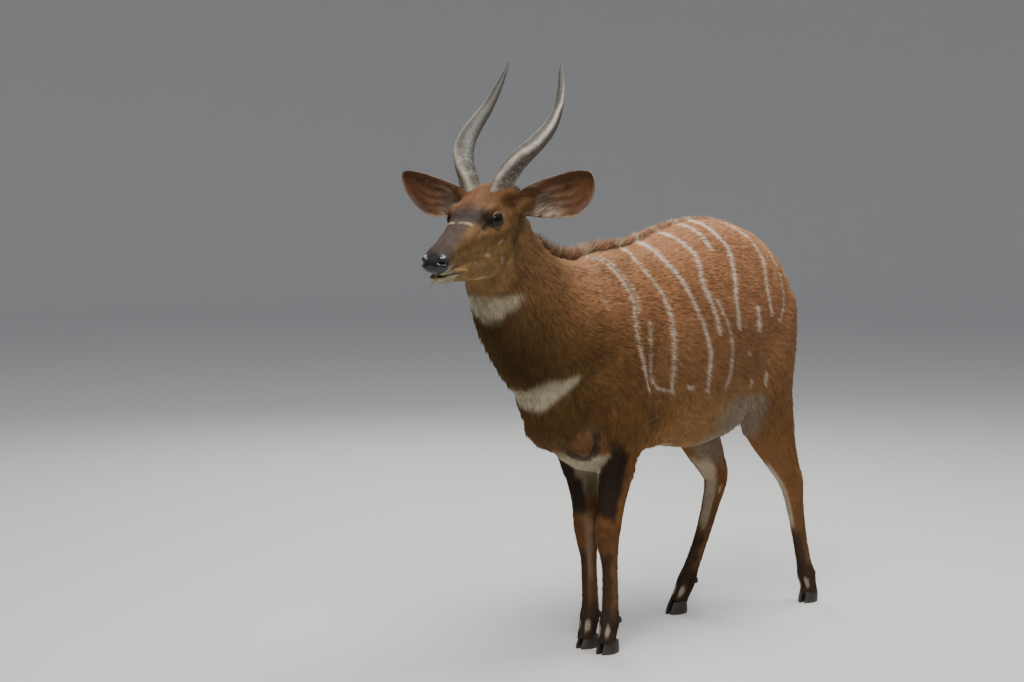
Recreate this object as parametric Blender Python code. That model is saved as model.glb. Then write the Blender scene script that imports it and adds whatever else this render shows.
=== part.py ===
"""Bongo antelope, life size, standing with its head turned a little to its left.

Units are metres, +Z is up, the animal faces -Y and its left side is +X.
The body is shaped whole from tapered tubes, fused, and parted by thin cuts into its nodes.
"""

import math
import random

import bmesh
import bpy
import numpy as np
from mathutils import Matrix, Vector
from mathutils.bvhtree import BVHTree

# Driving dimensions
NECK_TOP = Vector((0.0, -0.468, 1.145))
NECK_TOP_NORMAL = Vector((0.15, -0.84, 0.54))
NECK_BASE = Vector((0.0, -0.325, 0.900))
NECK_BASE_NORMAL = Vector((0.0, -0.95, 0.30))
GAP = 0.0003
BODY_VOXEL = 0.008
HEAD_VOXEL = 0.0034
BODY_TRIANGLES = 4700
HEAD_TRIANGLES = 4400

HEAD_ORIGIN = Vector((0.003, -0.465, 1.213))
HEAD_YAW = math.radians(15.0)
HEAD_PITCH = math.radians(16.6)

EYE_PLACE = Vector((0.161, 0.0525, 0.032))
EYE_RADIUS = 0.0205
EYE_FACING = Vector((0.62, 0.77, 0.12))
EAR_ROOT = Vector((0.030, 0.058, 0.024))
EAR_TIP = Vector((0.006, 0.266, 0.101))
EAR_WIDTH = 0.120
EAR_WALL = 0.0032
EAR_CUT = 0.036
HORN_ROOT = Vector((0.064, 0.043, 0.076))
HORN_RADIUS = 0.0255
HORN_CUT = 0.012

MOUTH_CUT = (0.0008, 0.0024)
LIP_RADIUS = (0.0072, 0.0078)
LIP_LIFT = (-0.0065, 0.0082)

HOOF_LENGTH = 0.070
HOOF_WIDTH = 0.024
HOOF_HEIGHT = 0.036
CLAW_SPREAD = 0.0152
ELBOW_HEIGHT = 0.60
FORE_FEET = {"left": (0.043, -0.064), "right": (-0.040, -0.046)}
HIND_FEET = {"left": (0.116, 0.858), "right": (-0.100, 0.464)}

TAIL_SOCKET = 0.012
TAIL_CLEARANCE = 0.004
TAIL_HEIGHTS = (1.015, 0.975, 0.910, 0.830, 0.750, 0.700)
TAIL_HALF_WIDTH = (0.024, 0.011)
TAIL_HALF_DEPTH = (0.018, 0.009)
CREST_LOCKS = 40
CREST_START = -0.245
CREST_LENGTH = 0.58
TUFT_LOCKS = 18

# Torso stations: place along Y, top, bottom, half width
TORSO = (
    (-0.355, 0.850, 0.710, 0.045),
    (-0.290, 1.000, 0.615, 0.102),
    (-0.180, 1.078, 0.535, 0.143),
    (-0.050, 1.102, 0.497, 0.164),
    (0.060, 1.113, 0.505, 0.176),
    (0.170, 1.143, 0.545, 0.192),
    (0.290, 1.170, 0.530, 0.203),
    (0.400, 1.180, 0.525, 0.203),
    (0.500, 1.173, 0.555, 0.196),
    (0.600, 1.149, 0.625, 0.182),
    (0.680, 1.104, 0.700, 0.157),
    (0.745, 1.035, 0.780, 0.118),
    (0.792, 0.960, 0.850, 0.056),
)

# Neck stations: centre Y, centre Z, half width, half depth
NECK = (
    (-0.080, 0.830, 0.148, 0.230),
    (-0.235, 0.888, 0.136, 0.207),
    (-0.358, 0.962, 0.109, 0.166),
    (-0.434, 1.043, 0.088, 0.138),
    (-0.472, 1.118, 0.078, 0.120),
    (-0.488, 1.178, 0.070, 0.100),
)

# Head stations in the head's own frame: forward, top, bottom, half width
SKULL = (
    (-0.045, 0.052, -0.050, 0.048),
    (0.000, 0.078, -0.085, 0.066),
    (0.055, 0.088, -0.112, 0.073),
    (0.110, 0.087, -0.112, 0.071),
    (0.160, 0.075, -0.090, 0.063),
    (0.215, 0.057, -0.070, 0.050),
    (0.270, 0.041, -0.055, 0.041),
    (0.325, 0.029, -0.042, 0.037),
    (0.370, 0.020, -0.037, 0.037),
    (0.397, 0.007, -0.033, 0.030),
    (0.407, -0.006, -0.022, 0.016),
)
JAW = (
    (0.000, 0.000, -0.090, 0.046),
    (0.055, -0.015, -0.118, 0.055),
    (0.105, -0.030, -0.130, 0.056),
    (0.160, -0.040, -0.124, 0.050),
    (0.220, -0.030, -0.110, 0.040),
    (0.280, -0.022, -0.092, 0.032),
    (0.330, -0.025, -0.077, 0.028),
    (0.368, -0.030, -0.069, 0.025),
    (0.386, -0.040, -0.059, 0.014),
)
MOUTH_LINE = (
    (0.391, 0.004, -0.038),
    (0.384, 0.017, -0.041),
    (0.366, 0.027, -0.044),
    (0.340, 0.032, -0.050),
    (0.312, 0.036, -0.058),
    (0.290, 0.040, -0.067),
)

# Leg stations: centre X, centre Y, centre Z, half width, half depth
FORE_LEG = (
    (0.085, 0.000, 0.960, 0.050, 0.105),
    (0.104, -0.055, 0.830, 0.066, 0.135),
    (0.098, -0.075, 0.700, 0.062, 0.117),
    (0.082, -0.062, 0.590, 0.053, 0.079),
    (0.067, -0.054, 0.500, 0.044, 0.058),
    (0.056, -0.056, 0.420, 0.035, 0.045),
    (0.049, -0.060, 0.345, 0.032, 0.038),
    (0.048, -0.058, 0.300, 0.028, 0.033),
    (0.048, -0.048, 0.200, 0.0205, 0.025),
    (0.047, -0.046, 0.125, 0.0210, 0.026),
    (0.047, -0.047, 0.085, 0.0260, 0.030),
    (0.047, -0.056, 0.055, 0.0250, 0.027),
    (0.047, -0.060, 0.026, 0.0250, 0.028),
)
HIND_LEG = (
    (0.085, 0.600, 0.960, 0.085, 0.170),
    (0.112, 0.582, 0.830, 0.082, 0.150),
    (0.116, 0.584, 0.710, 0.075, 0.141),
    (0.116, 0.622, 0.600, 0.061, 0.113),
    (0.114, 0.685, 0.500, 0.044, 0.078),
    (0.112, 0.740, 0.425, 0.033, 0.054),
    (0.112, 0.768, 0.375, 0.030, 0.043),
    (0.113, 0.785, 0.310, 0.025, 0.033),
    (0.114, 0.812, 0.210, 0.0210, 0.026),
    (0.115, 0.836, 0.130, 0.0210, 0.026),
    (0.116, 0.850, 0.088, 0.0260, 0.030),
    (0.116, 0.862, 0.055, 0.0250, 0.027),
    (0.116, 0.866, 0.026, 0.0260, 0.030),
)
STEPPING_LEG = (
    (-0.085, 0.600, 0.960, 0.085, 0.170),
    (-0.112, 0.572, 0.830, 0.082, 0.150),
    (-0.116, 0.550, 0.710, 0.075, 0.141),
    (-0.118, 0.570, 0.600, 0.062, 0.112),
    (-0.112, 0.612, 0.510, 0.045, 0.082),
    (-0.107, 0.655, 0.440, 0.035, 0.061),
    (-0.105, 0.680, 0.385, 0.031, 0.046),
    (-0.104, 0.654, 0.310, 0.025, 0.034),
    (-0.102, 0.602, 0.210, 0.0210, 0.026),
    (-0.101, 0.550, 0.130, 0.0210, 0.026),
    (-0.100, 0.520, 0.088, 0.0260, 0.030),
    (-0.100, 0.496, 0.055, 0.0250, 0.027),
    (-0.100, 0.476, 0.026, 0.0250, 0.028),
)

COLOURS = {
    "coat": (0.34, 0.135, 0.05, 1.0),
    "neck": (0.22, 0.095, 0.045, 1.0),
    "horn": (0.20, 0.165, 0.13, 1.0),
    "hoof": (0.03, 0.025, 0.022, 1.0),
    "eye": (0.012, 0.008, 0.006, 1.0),
}


def clear_scene():
    """Empties the file of every object."""
    for item in list(bpy.data.objects):
        bpy.data.objects.remove(item, do_unlink=True)


def principled(name, colour, roughness):
    """A plain Principled material."""
    material = bpy.data.materials.new(name)
    material.use_nodes = True
    shader = material.node_tree.nodes["Principled BSDF"]
    shader.inputs["Base Color"].default_value = colour
    shader.inputs["Roughness"].default_value = roughness
    return material


def mesh_object(name, points, faces):
    """An object with a new mesh of the given points and faces."""
    mesh = bpy.data.meshes.new(name)
    mesh.from_pydata([tuple(p) for p in points], [], [tuple(f) for f in faces])
    mesh.validate()
    item = bpy.data.objects.new(name, mesh)
    bpy.context.scene.collection.objects.link(item)
    return item


def smooth_rows(rows, count):
    """Rows read along a Catmull-Rom curve through the given ones, evenly in length."""
    table = np.array(rows, dtype=float)
    padded = np.vstack([2 * table[0] - table[1], table, 2 * table[-1] - table[-2]])
    fine = []
    for k in range(len(table) - 1):
        a, b, c, d = padded[k:k + 4]
        for t in np.linspace(0.0, 1.0, 24, endpoint=False):
            fine.append(0.5 * (2 * b + (c - a) * t + (2 * a - 5 * b + 4 * c - d) * t ** 2
                               + (3 * b - a - 3 * c + d) * t ** 3))
    fine.append(table[-1])
    fine = np.array(fine)
    run = np.concatenate([[0.0], np.cumsum(np.linalg.norm(np.diff(fine, axis=0), axis=1))])
    wanted = np.linspace(0.0, run[-1], count)
    return np.stack([np.interp(wanted, run, fine[:, k]) for k in range(fine.shape[1])], axis=1)


def loft(name, rings):
    """A closed tube through rings of points, each end closed by one cap face."""
    rings = [list(ring) for ring in rings]
    around = len(rings[0])
    points = [p for ring in rings for p in ring]
    faces = []
    for k in range(len(rings) - 1):
        for j in range(around):
            i = (j + 1) % around
            faces.append((k * around + j, k * around + i, (k + 1) * around + i, (k + 1) * around + j))
    faces.append(tuple(reversed(range(around))))
    last = (len(rings) - 1) * around
    faces.append(tuple(range(last, last + around)))
    item = mesh_object(name, points, faces)
    face_outward(item)
    return item


def face_outward(item):
    """Turns every face to point out of its closed body."""
    shape = bmesh.new()
    shape.from_mesh(item.data)
    bmesh.ops.recalc_face_normals(shape, faces=shape.faces)
    shape.to_mesh(item.data)
    shape.free()


def ring(centre, side, rise, width, depth, around, power=2.0):
    """Points of a superellipse: half width along side, half depth along rise."""
    found = []
    for k in range(around):
        angle = 2 * math.pi * k / around
        x = math.copysign(abs(math.cos(angle)) ** (2 / power), math.cos(angle))
        z = math.copysign(abs(math.sin(angle)) ** (2 / power), math.sin(angle))
        found.append(centre + side * (width * x) + rise * (depth * z))
    return found


def limb(name, rows, count, around, power=2.0, aside=Vector((1.0, 0.0, 0.0))):
    """A tube along a path in space: rows hold X, Y, Z, half width aside, half depth."""
    table = smooth_rows(rows, count)
    rings = []
    for k, row in enumerate(table):
        ahead = table[min(k + 1, count - 1), :3] - table[max(k - 1, 0), :3]
        along = Vector(ahead).normalized()
        side = (aside - along * along.dot(aside)).normalized()
        rise = along.cross(side)
        rings.append(ring(Vector(row[:3]), side, rise, row[3], row[4], around, power))
    return loft(name, rings)


def box_section(name, rows, count, frame, power):
    """A tube along the frame's first axis: rows hold place, top, bottom, half width."""
    rings = []
    for place, top, bottom, width in smooth_rows(rows, count):
        centre = frame @ Vector((place, 0.0, (top + bottom) / 2))
        side = (frame.to_3x3() @ Vector((0.0, 1.0, 0.0)))
        rise = (frame.to_3x3() @ Vector((0.0, 0.0, 1.0)))
        rings.append(ring(centre, side, rise, width, (top - bottom) / 2, 28, power))
    return loft(name, rings)


def ball(name, centre, radii, turn=None, segments=16, rings=10):
    """An ellipsoid, turned by a rotation matrix."""
    shape = bmesh.new()
    bmesh.ops.create_uvsphere(shape, u_segments=segments, v_segments=rings, radius=1.0)
    move = Matrix.Translation(centre) @ (turn or Matrix.Identity(4)) @ Matrix.Diagonal((*radii, 1.0))
    bmesh.ops.transform(shape, matrix=move, verts=shape.verts)
    mesh = bpy.data.meshes.new(name)
    shape.to_mesh(mesh)
    shape.free()
    item = bpy.data.objects.new(name, mesh)
    bpy.context.scene.collection.objects.link(item)
    return item


def bake(item):
    """Replaces an object's mesh by the one its modifiers give."""
    graph = bpy.context.evaluated_depsgraph_get()
    graph.update()
    mesh = bpy.data.meshes.new_from_object(item.evaluated_get(graph))
    item.modifiers.clear()
    item.data = mesh
    return item


def join(name, items):
    """One object holding the separate closed bodies of several."""
    shape = bmesh.new()
    for item in items:
        item.data.transform(item.matrix_world)
        shape.from_mesh(item.data)
        bpy.data.objects.remove(item, do_unlink=True)
    mesh = bpy.data.meshes.new(name)
    shape.to_mesh(mesh)
    shape.free()
    joined = bpy.data.objects.new(name, mesh)
    bpy.context.scene.collection.objects.link(joined)
    return joined


def fuse(item, voxel, smoothing, triangles):
    """Fuses overlapping tubes into one skin, softens the joins and thins the mesh."""
    remesh = item.modifiers.new("fuse", "REMESH")
    remesh.mode = "VOXEL"
    remesh.voxel_size = voxel
    bake(item)
    soften = item.modifiers.new("soften", "SMOOTH")
    soften.factor = 0.5
    soften.iterations = smoothing
    triangulate = item.modifiers.new("triangulate", "TRIANGULATE")
    triangulate.min_vertices = 4
    bake(item)
    thin = item.modifiers.new("thin", "DECIMATE")
    thin.ratio = triangles / len(item.data.polygons)
    bake(item)
    return item


def cut(item, tool, operation, solver="EXACT"):
    """Applies one Boolean and removes its tool."""
    change = item.modifiers.new("cut", "BOOLEAN")
    change.operation = operation
    change.solver = solver
    change.object = tool
    bake(item)
    bpy.data.objects.remove(tool, do_unlink=True)
    return item


def copy_of(item, name):
    """A second object with its own copy of the mesh."""
    twin = bpy.data.objects.new(name, item.data.copy())
    bpy.context.scene.collection.objects.link(twin)
    return twin


def cell(name, centre, normal, reach, depth, roll, offset):
    """A box whose first face lies on a plane, offset along the plane's normal.

    It reaches to both sides along roll and across it, and goes deep along the normal.
    """
    normal = normal.normalized()
    across = (roll - normal * roll.dot(normal)).normalized()
    third = normal.cross(across)
    corners = []
    for n in (offset, depth):
        for a, b in ((-1, -1), (1, -1), (1, 1), (-1, 1)):
            corners.append(centre + normal * n + across * ((reach[0] - offset) * a)
                           + third * ((reach[1] - offset) * b))
    faces = [(0, 3, 2, 1), (4, 5, 6, 7), (0, 1, 5, 4), (1, 2, 6, 5), (2, 3, 7, 6), (3, 0, 4, 7)]
    item = mesh_object(name, corners, faces)
    face_outward(item)
    return item


def leg_cell(name, side, inner, height, slope, front, back, gap):
    """A prism round one leg: upright on its inner side, with a sloping top, flat before and behind."""
    far = 0.40
    sole = HOOF_HEIGHT + GAP
    outline = [(inner + gap, sole), (far, sole), (far, height + slope * far - gap * 1.3),
               (inner + gap, height + slope * inner - gap * 1.3)]
    points = [Vector((side * x, y, z)) for y in (front + gap, back - gap) for x, z in outline]
    faces = [(0, 1, 2, 3), (7, 6, 5, 4), (0, 4, 5, 1), (1, 5, 6, 2), (2, 6, 7, 3), (3, 7, 4, 0)]
    item = mesh_object(name, points, faces)
    face_outward(item)
    return item


def part_off(body, name, cells):
    """Parts what lies in a cell into its own node, with a thin gap on every cut face."""
    piece = copy_of(body, name)
    cut(piece, cells[0], "INTERSECT")
    cut(body, cells[1], "DIFFERENCE")
    keep_largest(piece)
    keep_largest(body)
    return piece


def past_plane(centre, normal, roll):
    """The pair of cells, inner and outer, for what lies past a plane."""
    return [cell(name, centre, normal, (0.60, 0.60), 0.90, roll, gap)
            for name, gap in (("inner", GAP / 2), ("outer", -GAP / 2))]


def round_leg(side, front, back, height, slope):
    """The pair of cells, inner and outer, for one leg."""
    return [leg_cell(name, side, 0.0, height, slope, front, back, gap)
            for name, gap in (("inner", GAP / 2), ("outer", -GAP / 2))]


def keep_largest(item):
    """Keeps the largest closed surface of a mesh."""
    shape = bmesh.new()
    shape.from_mesh(item.data)
    shape.verts.ensure_lookup_table()
    seen = set()
    groups = []
    for start in shape.verts:
        if start in seen:
            continue
        stack = [start]
        seen.add(start)
        group = []
        while stack:
            vert = stack.pop()
            group.append(vert)
            for edge in vert.link_edges:
                other = edge.other_vert(vert)
                if other not in seen:
                    seen.add(other)
                    stack.append(other)
        groups.append(group)
    groups.sort(key=len)
    for group in groups[:-1]:
        bmesh.ops.delete(shape, geom=group, context="VERTS")
    shape.to_mesh(item.data)
    shape.free()


def head_frame():
    """The head's frame: X forward along the face, Y to its left, Z up."""
    forward = Vector((math.sin(HEAD_YAW) * math.cos(HEAD_PITCH),
                      -math.cos(HEAD_YAW) * math.cos(HEAD_PITCH), -math.sin(HEAD_PITCH)))
    left = Vector((math.cos(HEAD_YAW), math.sin(HEAD_YAW), 0.0))
    up = forward.cross(left)
    frame = Matrix((forward, left, up)).transposed().to_4x4()
    frame.translation = HEAD_ORIGIN
    return frame


HEAD = head_frame()


def in_head(point, side=1):
    """A point of the head's frame in the world, mirrored for the right side."""
    return HEAD @ Vector((point[0], side * point[1], point[2]))


def neck_tubes():
    """The neck: a deep tube that bends up and sideways to the head."""
    rows = []
    for place, height, width, depth in NECK:
        reach = max(0.0, (-0.25 - place) / 0.22)
        rows.append((0.006 * reach, place, height, width, depth))
    return [limb("neck tube", rows, 16, 28)]


def fore_leg(side):
    """A foreleg's tube, moved over its foot."""
    foot = FORE_FEET["left" if side > 0 else "right"]
    stand_x, stand_y = FORE_LEG[-1][:2]
    rows = []
    for x, y, z, width, depth in FORE_LEG:
        low = max(0.0, min(1.0, (ELBOW_HEIGHT - z) / ELBOW_HEIGHT * 1.2))
        rows.append((side * x + (foot[0] - side * stand_x) * low, y + (foot[1] - stand_y - 0.002) * low,
                     z, width, depth))
    return limb("fore leg tube", rows, 34, 16)


def body_tubes():
    """All tubes of torso, neck and legs."""
    along = Matrix(((0, 1, 0, 0), (1, 0, 0, 0), (0, 0, 1, 0), (0, 0, 0, 1)))
    tubes = [box_section("torso tube", TORSO, 30, along, 2.15)]
    tubes += neck_tubes()
    tubes += [fore_leg(1), fore_leg(-1)]
    tubes += [limb("hind tube", HIND_LEG, 34, 18), limb("hind tube", STEPPING_LEG, 34, 18)]
    return tubes


def head_tubes():
    """Skull, jaw, cheeks, brows, eyelids, lips, nose pad and the roots of ears and horns."""
    tubes = [box_section("skull", SKULL, 22, HEAD, 2.25), box_section("jaw", JAW, 16, HEAD, 2.2)]
    turn = HEAD.to_3x3().to_4x4()
    for side in (1, -1):
        tubes.append(ball("cheek", in_head((0.120, 0.034, -0.058), side), (0.075, 0.032, 0.056), turn))
        tubes.append(ball("brow", in_head((0.150, 0.044, 0.047), side), (0.040, 0.022, 0.020), turn))
        tubes.append(ball("lids", in_head(EYE_PLACE, side), (0.0240,) * 3, turn))
        tubes.append(ball("nostril wing", in_head((0.384, 0.020, -0.006), side), (0.022, 0.016, 0.018), turn))
        for lift, radius in zip(LIP_LIFT, LIP_RADIUS):
            tubes.append(lip_tube(side, lift, radius))
        tubes.append(ear_root(side))
        tubes.append(horn_root(side))
    return tubes


def lip_tube(side, lift, radius):
    """A soft roll above or below the line of the mouth."""
    rows = []
    for k, (x, y, z) in enumerate(MOUTH_LINE):
        size = radius * (1.0 - 0.11 * k)
        rows.append((*in_head((x - 0.003, y * 0.84, z + lift * (1.0 - 0.1 * k)), side), size, size))
    return limb("lip", rows, 9, 8, 2.0, HEAD.to_3x3() @ Vector((0, 0, 1)))


def ear_path(side):
    """Centres along an ear and the axes of its frame: along, across and the way it opens."""
    root = in_head(EAR_ROOT, side)
    tip = in_head(EAR_TIP, side)
    along = (tip - root).normalized()
    face = (HEAD.to_3x3() @ Vector((0.93, side * 0.22, -0.10)))
    face = (face - along * face.dot(along)).normalized()
    across = face.cross(along) * side
    return root, along, across, face, (tip - root).length


def ear_root(side):
    """The round root that an ear grows from."""
    root, along, across, face, length = ear_path(side)
    rings = []
    for t, radius in ((-0.12, 0.020), (0.0, 0.025), (0.12, 0.0255), (0.24, 0.027)):
        rings.append(ring(root + along * (t * length), across, face, radius * 1.2, radius * 0.9, 14))
    return loft("ear root", rings)


def ear_shell(name, side):
    """A cupped leaf with a thick root, opening forward: outer and inner wall in one body."""
    root, along, across, face, length = ear_path(side)
    stations = np.linspace(0.02, 1.0, 17)
    around = 8
    rings = []
    for t in stations:
        width = EAR_WIDTH * (0.40 + 1.70 * t - 0.90 * t * t) * max(0.0, 1.0 - t ** 3.4) ** 0.70
        width = max(width, 0.012)
        cup = 0.028 * (1.0 - 0.80 * t) + 0.004
        wall = EAR_WALL * (1.0 - 0.45 * t)
        upper = 0.43 - 0.16 * min(1.0, t / 0.6)
        centre = root + along * (t * length)
        outer = []
        inner = []
        for k in range(around + 1):
            s = k / around
            e = (upper - s) * width
            fold = (2 * s - 1) ** 2
            back = -cup * (1 - fold)
            outer.append(centre + across * e + face * (back - wall * (1 - 0.6 * fold)))
            floor = back if t > 0.30 else back + (0.30 - t) * 0.14 * (1 - fold)
            inner.append(centre + across * (e * 0.985) + face * (floor + wall * 0.4 * (1 - fold)))
        rings.append(outer + inner[::-1])
    return loft(name, rings)


def horn_path(side):
    """Centres of a horn from its root to its tip: back, out and up in an open lyre."""
    stops = (
        (0.070, 0.038, 0.062),
        (0.054, 0.050, 0.100),
        (0.020, 0.074, 0.138),
        (-0.057, 0.099, 0.165),
        (-0.135, 0.107, 0.188),
        (-0.205, 0.101, 0.216),
        (-0.258, 0.091, 0.252),
        (-0.294, 0.081, 0.289),
        (-0.320, 0.077, 0.312),
    )
    return [in_head(stop, side) for stop in stops]


def horn_root(side):
    """The low boss that a horn grows from."""
    turn = HEAD.to_3x3().to_4x4()
    return ball("horn root", in_head((0.062, 0.042, 0.070), side), (0.031, 0.031, 0.025), turn)


def horn_solid(name, side):
    """A tapering horn, oval with a keel that turns half way round from root to tip."""
    centres = smooth_rows([tuple(p) for p in horn_path(side)], 22)
    rings = []
    forward = HEAD.to_3x3() @ Vector((1.0, 0.0, 0.0))
    for k, centre in enumerate(centres):
        t = k / (len(centres) - 1)
        along = Vector(centres[min(k + 1, 21)] - centres[max(k - 1, 0)]).normalized()
        first = (forward - along * forward.dot(along)).normalized()
        second = along.cross(first)
        radius = HORN_RADIUS * (1 - 0.93 * t ** 1.75) + 0.0004
        twist = -side * 2.6 * t
        points = []
        for j in range(12):
            angle = 2 * math.pi * j / 12
            turn = angle - twist
            keel = 1.0 + 0.16 * max(0.0, math.cos(turn)) ** 4 + 0.06 * math.cos(2 * turn)
            points.append(Vector(centre) + (first * math.cos(angle) + second * math.sin(angle)) * radius * keel)
        rings.append(points)
    return loft(name, rings)


def cut_disc(name, point, normal, radius, depth):
    """A short cylinder standing on a plane, for a local cut."""
    shape = bmesh.new()
    bmesh.ops.create_cone(shape, cap_ends=True, segments=20, radius1=radius, radius2=radius, depth=depth)
    turn = normal.to_track_quat("Z", "Y").to_matrix().to_4x4()
    bmesh.ops.transform(shape, matrix=Matrix.Translation(point + normal * depth / 2) @ turn, verts=shape.verts)
    mesh = bpy.data.meshes.new(name)
    shape.to_mesh(mesh)
    shape.free()
    item = bpy.data.objects.new(name, mesh)
    bpy.context.scene.collection.objects.link(item)
    return item


def eye_opening(side):
    """The almond that opens the lids over the eyeball."""
    centre = in_head(EYE_PLACE, side)
    out = (HEAD.to_3x3() @ Vector((EYE_FACING.x, side * EYE_FACING.y, EYE_FACING.z))).normalized()
    level = (HEAD.to_3x3() @ Vector((0.92, -side * 0.34, -0.16)))
    level = (level - out * level.dot(out)).normalized()
    rise = out.cross(level) * side
    if rise.z < 0:
        rise = -rise
    rings = []
    for depth, size in ((0.010, 0.82), (0.036, 1.25)):
        points = []
        for k in range(14):
            angle = 2 * math.pi * k / 14
            x = math.cos(angle) * 0.0200 * size
            lift = math.sin(angle)
            z = (0.0140 if lift > 0 else 0.0120) * size * math.copysign(abs(lift) ** 1.25, lift)
            points.append(centre + out * depth + level * x + rise * z)
        rings.append(points)
    return loft("eye opening", rings)


def surface_tree(item):
    """A tree of an object's faces, for finding places on its surface."""
    shape = bmesh.new()
    shape.from_mesh(item.data)
    tree = BVHTree.FromBMesh(shape)
    shape.free()
    return tree


def surface_line(tree, points, lift):
    """Points drawn onto a surface, lifted off it by a little."""
    found = []
    for point in points:
        place, normal, _, _ = tree.find_nearest(point)
        found.append(place + normal * lift)
    return found


def carve_head(head):
    """Sockets, lids, nostrils and the line of the mouth, each cut into the head."""
    for side in (1, -1):
        centre = in_head(EYE_PLACE, side)
        cut(head, ball("socket", centre, (EYE_RADIUS + GAP,) * 3, None, 14, 9), "DIFFERENCE")
        cut(head, eye_opening(side), "DIFFERENCE")
        nostril = in_head((0.393, 0.027, -0.003), side)
        turn = HEAD.to_3x3().to_4x4() @ Matrix.Rotation(side * 0.65, 4, "Z") @ Matrix.Rotation(0.5, 4, "Y")
        cut(head, ball("nostril", nostril, (0.0125, 0.0062, 0.0072), turn, 10, 6), "DIFFERENCE")
    tree = surface_tree(head)
    line = [in_head(p, -1) for p in MOUTH_LINE[::-1]] + [in_head(p, 1) for p in MOUTH_LINE]
    smooth = smooth_rows([tuple(p) for p in line], 19)
    on_skin = surface_line(tree, [Vector(p) for p in smooth], 0.0002)
    rows = []
    for k, place in enumerate(on_skin):
        end = min(k, len(on_skin) - 1 - k) / 3
        radius = MOUTH_CUT[0] + (MOUTH_CUT[1] - MOUTH_CUT[0]) * min(1.0, end)
        rows.append((*place, radius, radius))
    cut(head, limb("mouth", rows, 19, 5, 2.0, HEAD.to_3x3() @ Vector((0, 0, 1))), "DIFFERENCE")


def claw(name, centre, side, heading):
    """One half of a cloven hoof: a wedge with a flat sole, a rounded toe and an upright heel."""
    forward = Vector((math.sin(heading), -math.cos(heading), 0.0))
    left = Vector((math.cos(heading), math.sin(heading), 0.0))
    half = HOOF_LENGTH / 2
    levels = ((0.0, 1.0, 0.0), (0.28, 0.97, -0.002), (0.66, 0.86, -0.005), (1.0, 0.72, -0.009))
    rings = []
    for part, size, shift in levels:
        height = HOOF_HEIGHT * part
        points = []
        for k in range(14):
            angle = 2 * math.pi * k / 14
            ahead = math.cos(angle) * half * size + shift
            taper = 1.0 - 0.42 * max(0.0, math.cos(angle)) ** 2
            across = math.sin(angle) * HOOF_WIDTH / 2 * (0.90 + 0.10 * size) * taper
            inward = -side * 0.007 * max(0.0, math.cos(angle)) ** 2
            points.append(centre + forward * ahead + left * (across + inward) + Vector((0, 0, height)))
        rings.append(points)
    return loft(name, rings)


def hooves():
    """Two claws a foot, set under the flat end of each leg."""
    made = []
    feet = [("fore_left", FORE_FEET["left"], 0.06), ("fore_right", FORE_FEET["right"], -0.04),
            ("hind_left", HIND_FEET["left"], 0.10), ("hind_right", HIND_FEET["right"], -0.05)]
    for label, (x, y), heading in feet:
        left = Vector((math.cos(heading), math.sin(heading), 0.0))
        for side, half in ((1, "left"), (-1, "right")):
            centre = Vector((x, y, 0.0)) + left * (side * CLAW_SPREAD)
            made.append(claw("hoof_%s_%s" % (label, half), centre, side, heading))
    return made


def lock(name, root, flow, out, length, width, thickness, bend):
    """One flat tapered lock that starts under the skin and bends along its flow."""
    flow = flow.normalized()
    across = flow.cross(out).normalized()
    rings = []
    stops = ((-0.25, 0.80), (0.15, 1.0), (0.62, 0.74), (1.0, 0.16))
    for t, size in stops:
        centre = root + out * (bend * t * (1.0 - 0.45 * t)) * length + flow * (t * length)
        rings.append(ring(centre, across, out, width * size / 2, thickness * size / 2, 6))
    return loft(name, rings)


def union_locks(item, locks):
    """Fuses the locks with the body that they grow from."""
    group = bpy.data.collections.new("locks")
    bpy.context.scene.collection.children.link(group)
    for piece in locks:
        group.objects.link(piece)
    change = item.modifiers.new("locks", "BOOLEAN")
    change.operation = "UNION"
    change.solver = "EXACT"
    change.operand_type = "COLLECTION"
    change.collection = group
    bake(item)
    for piece in locks:
        bpy.data.objects.remove(piece, do_unlink=True)
    bpy.data.collections.remove(group)
    keep_largest(item)


def crest(torso):
    """The erect crest: broad thin locks along the ridge of the back, longest over the withers."""
    chance = random.Random(11)
    tree = surface_tree(torso)
    locks = []
    for k in range(CREST_LOCKS):
        t = k / (CREST_LOCKS - 1)
        y = CREST_START + CREST_LENGTH * t
        place = tree.ray_cast(Vector((0.003 * (-1) ** k, y, 1.6)), Vector((0, 0, -1)))[0]
        lean = chance.uniform(-0.10, 0.10)
        flow = Vector((0.12 * (-1) ** k + lean, 0.86, 0.75 - 0.30 * t))
        side = Vector((1.0, 0.0, 0.0))
        out = side.cross(flow).normalized()
        length = (0.033 - 0.014 * t) * chance.uniform(0.85, 1.15)
        root = place - Vector((0, 0, 0.004))
        locks.append(lock("lock", root, flow, side, length, 0.019, 0.008, 0.0))
    union_locks(torso, locks)


def swollen(item, by):
    """A copy of a closed body with its surface moved outward."""
    twin = copy_of(item, "swollen")
    for vert in twin.data.vertices:
        vert.co += vert.normal * by
    return twin


def tail_rows(tree):
    """Stations of the tail, which leaves the rump and hangs close behind it."""
    rows = []
    last = len(TAIL_HEIGHTS) - 1
    farthest = 0.0
    for k, height in enumerate(TAIL_HEIGHTS):
        width, depth = (size[0] + (size[1] - size[0]) * k / last
                        for size in (TAIL_HALF_WIDTH, TAIL_HALF_DEPTH))
        struck = tree.ray_cast(Vector((0.0, 1.5, height)), Vector((0, -1, 0)))[0]
        farthest = max(farthest, struck.y if struck else 0.0)
        if k == 0:
            inner = struck.y - TAIL_SOCKET
            rows.append((0.0, inner, height + 0.004, width, depth))
            rows.append((0.0, inner + 0.030, height, width, depth))
        else:
            rows.append((0.004 * math.sin(2.0 * k), farthest + TAIL_CLEARANCE + depth, height, width, depth))
    return rows


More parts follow.
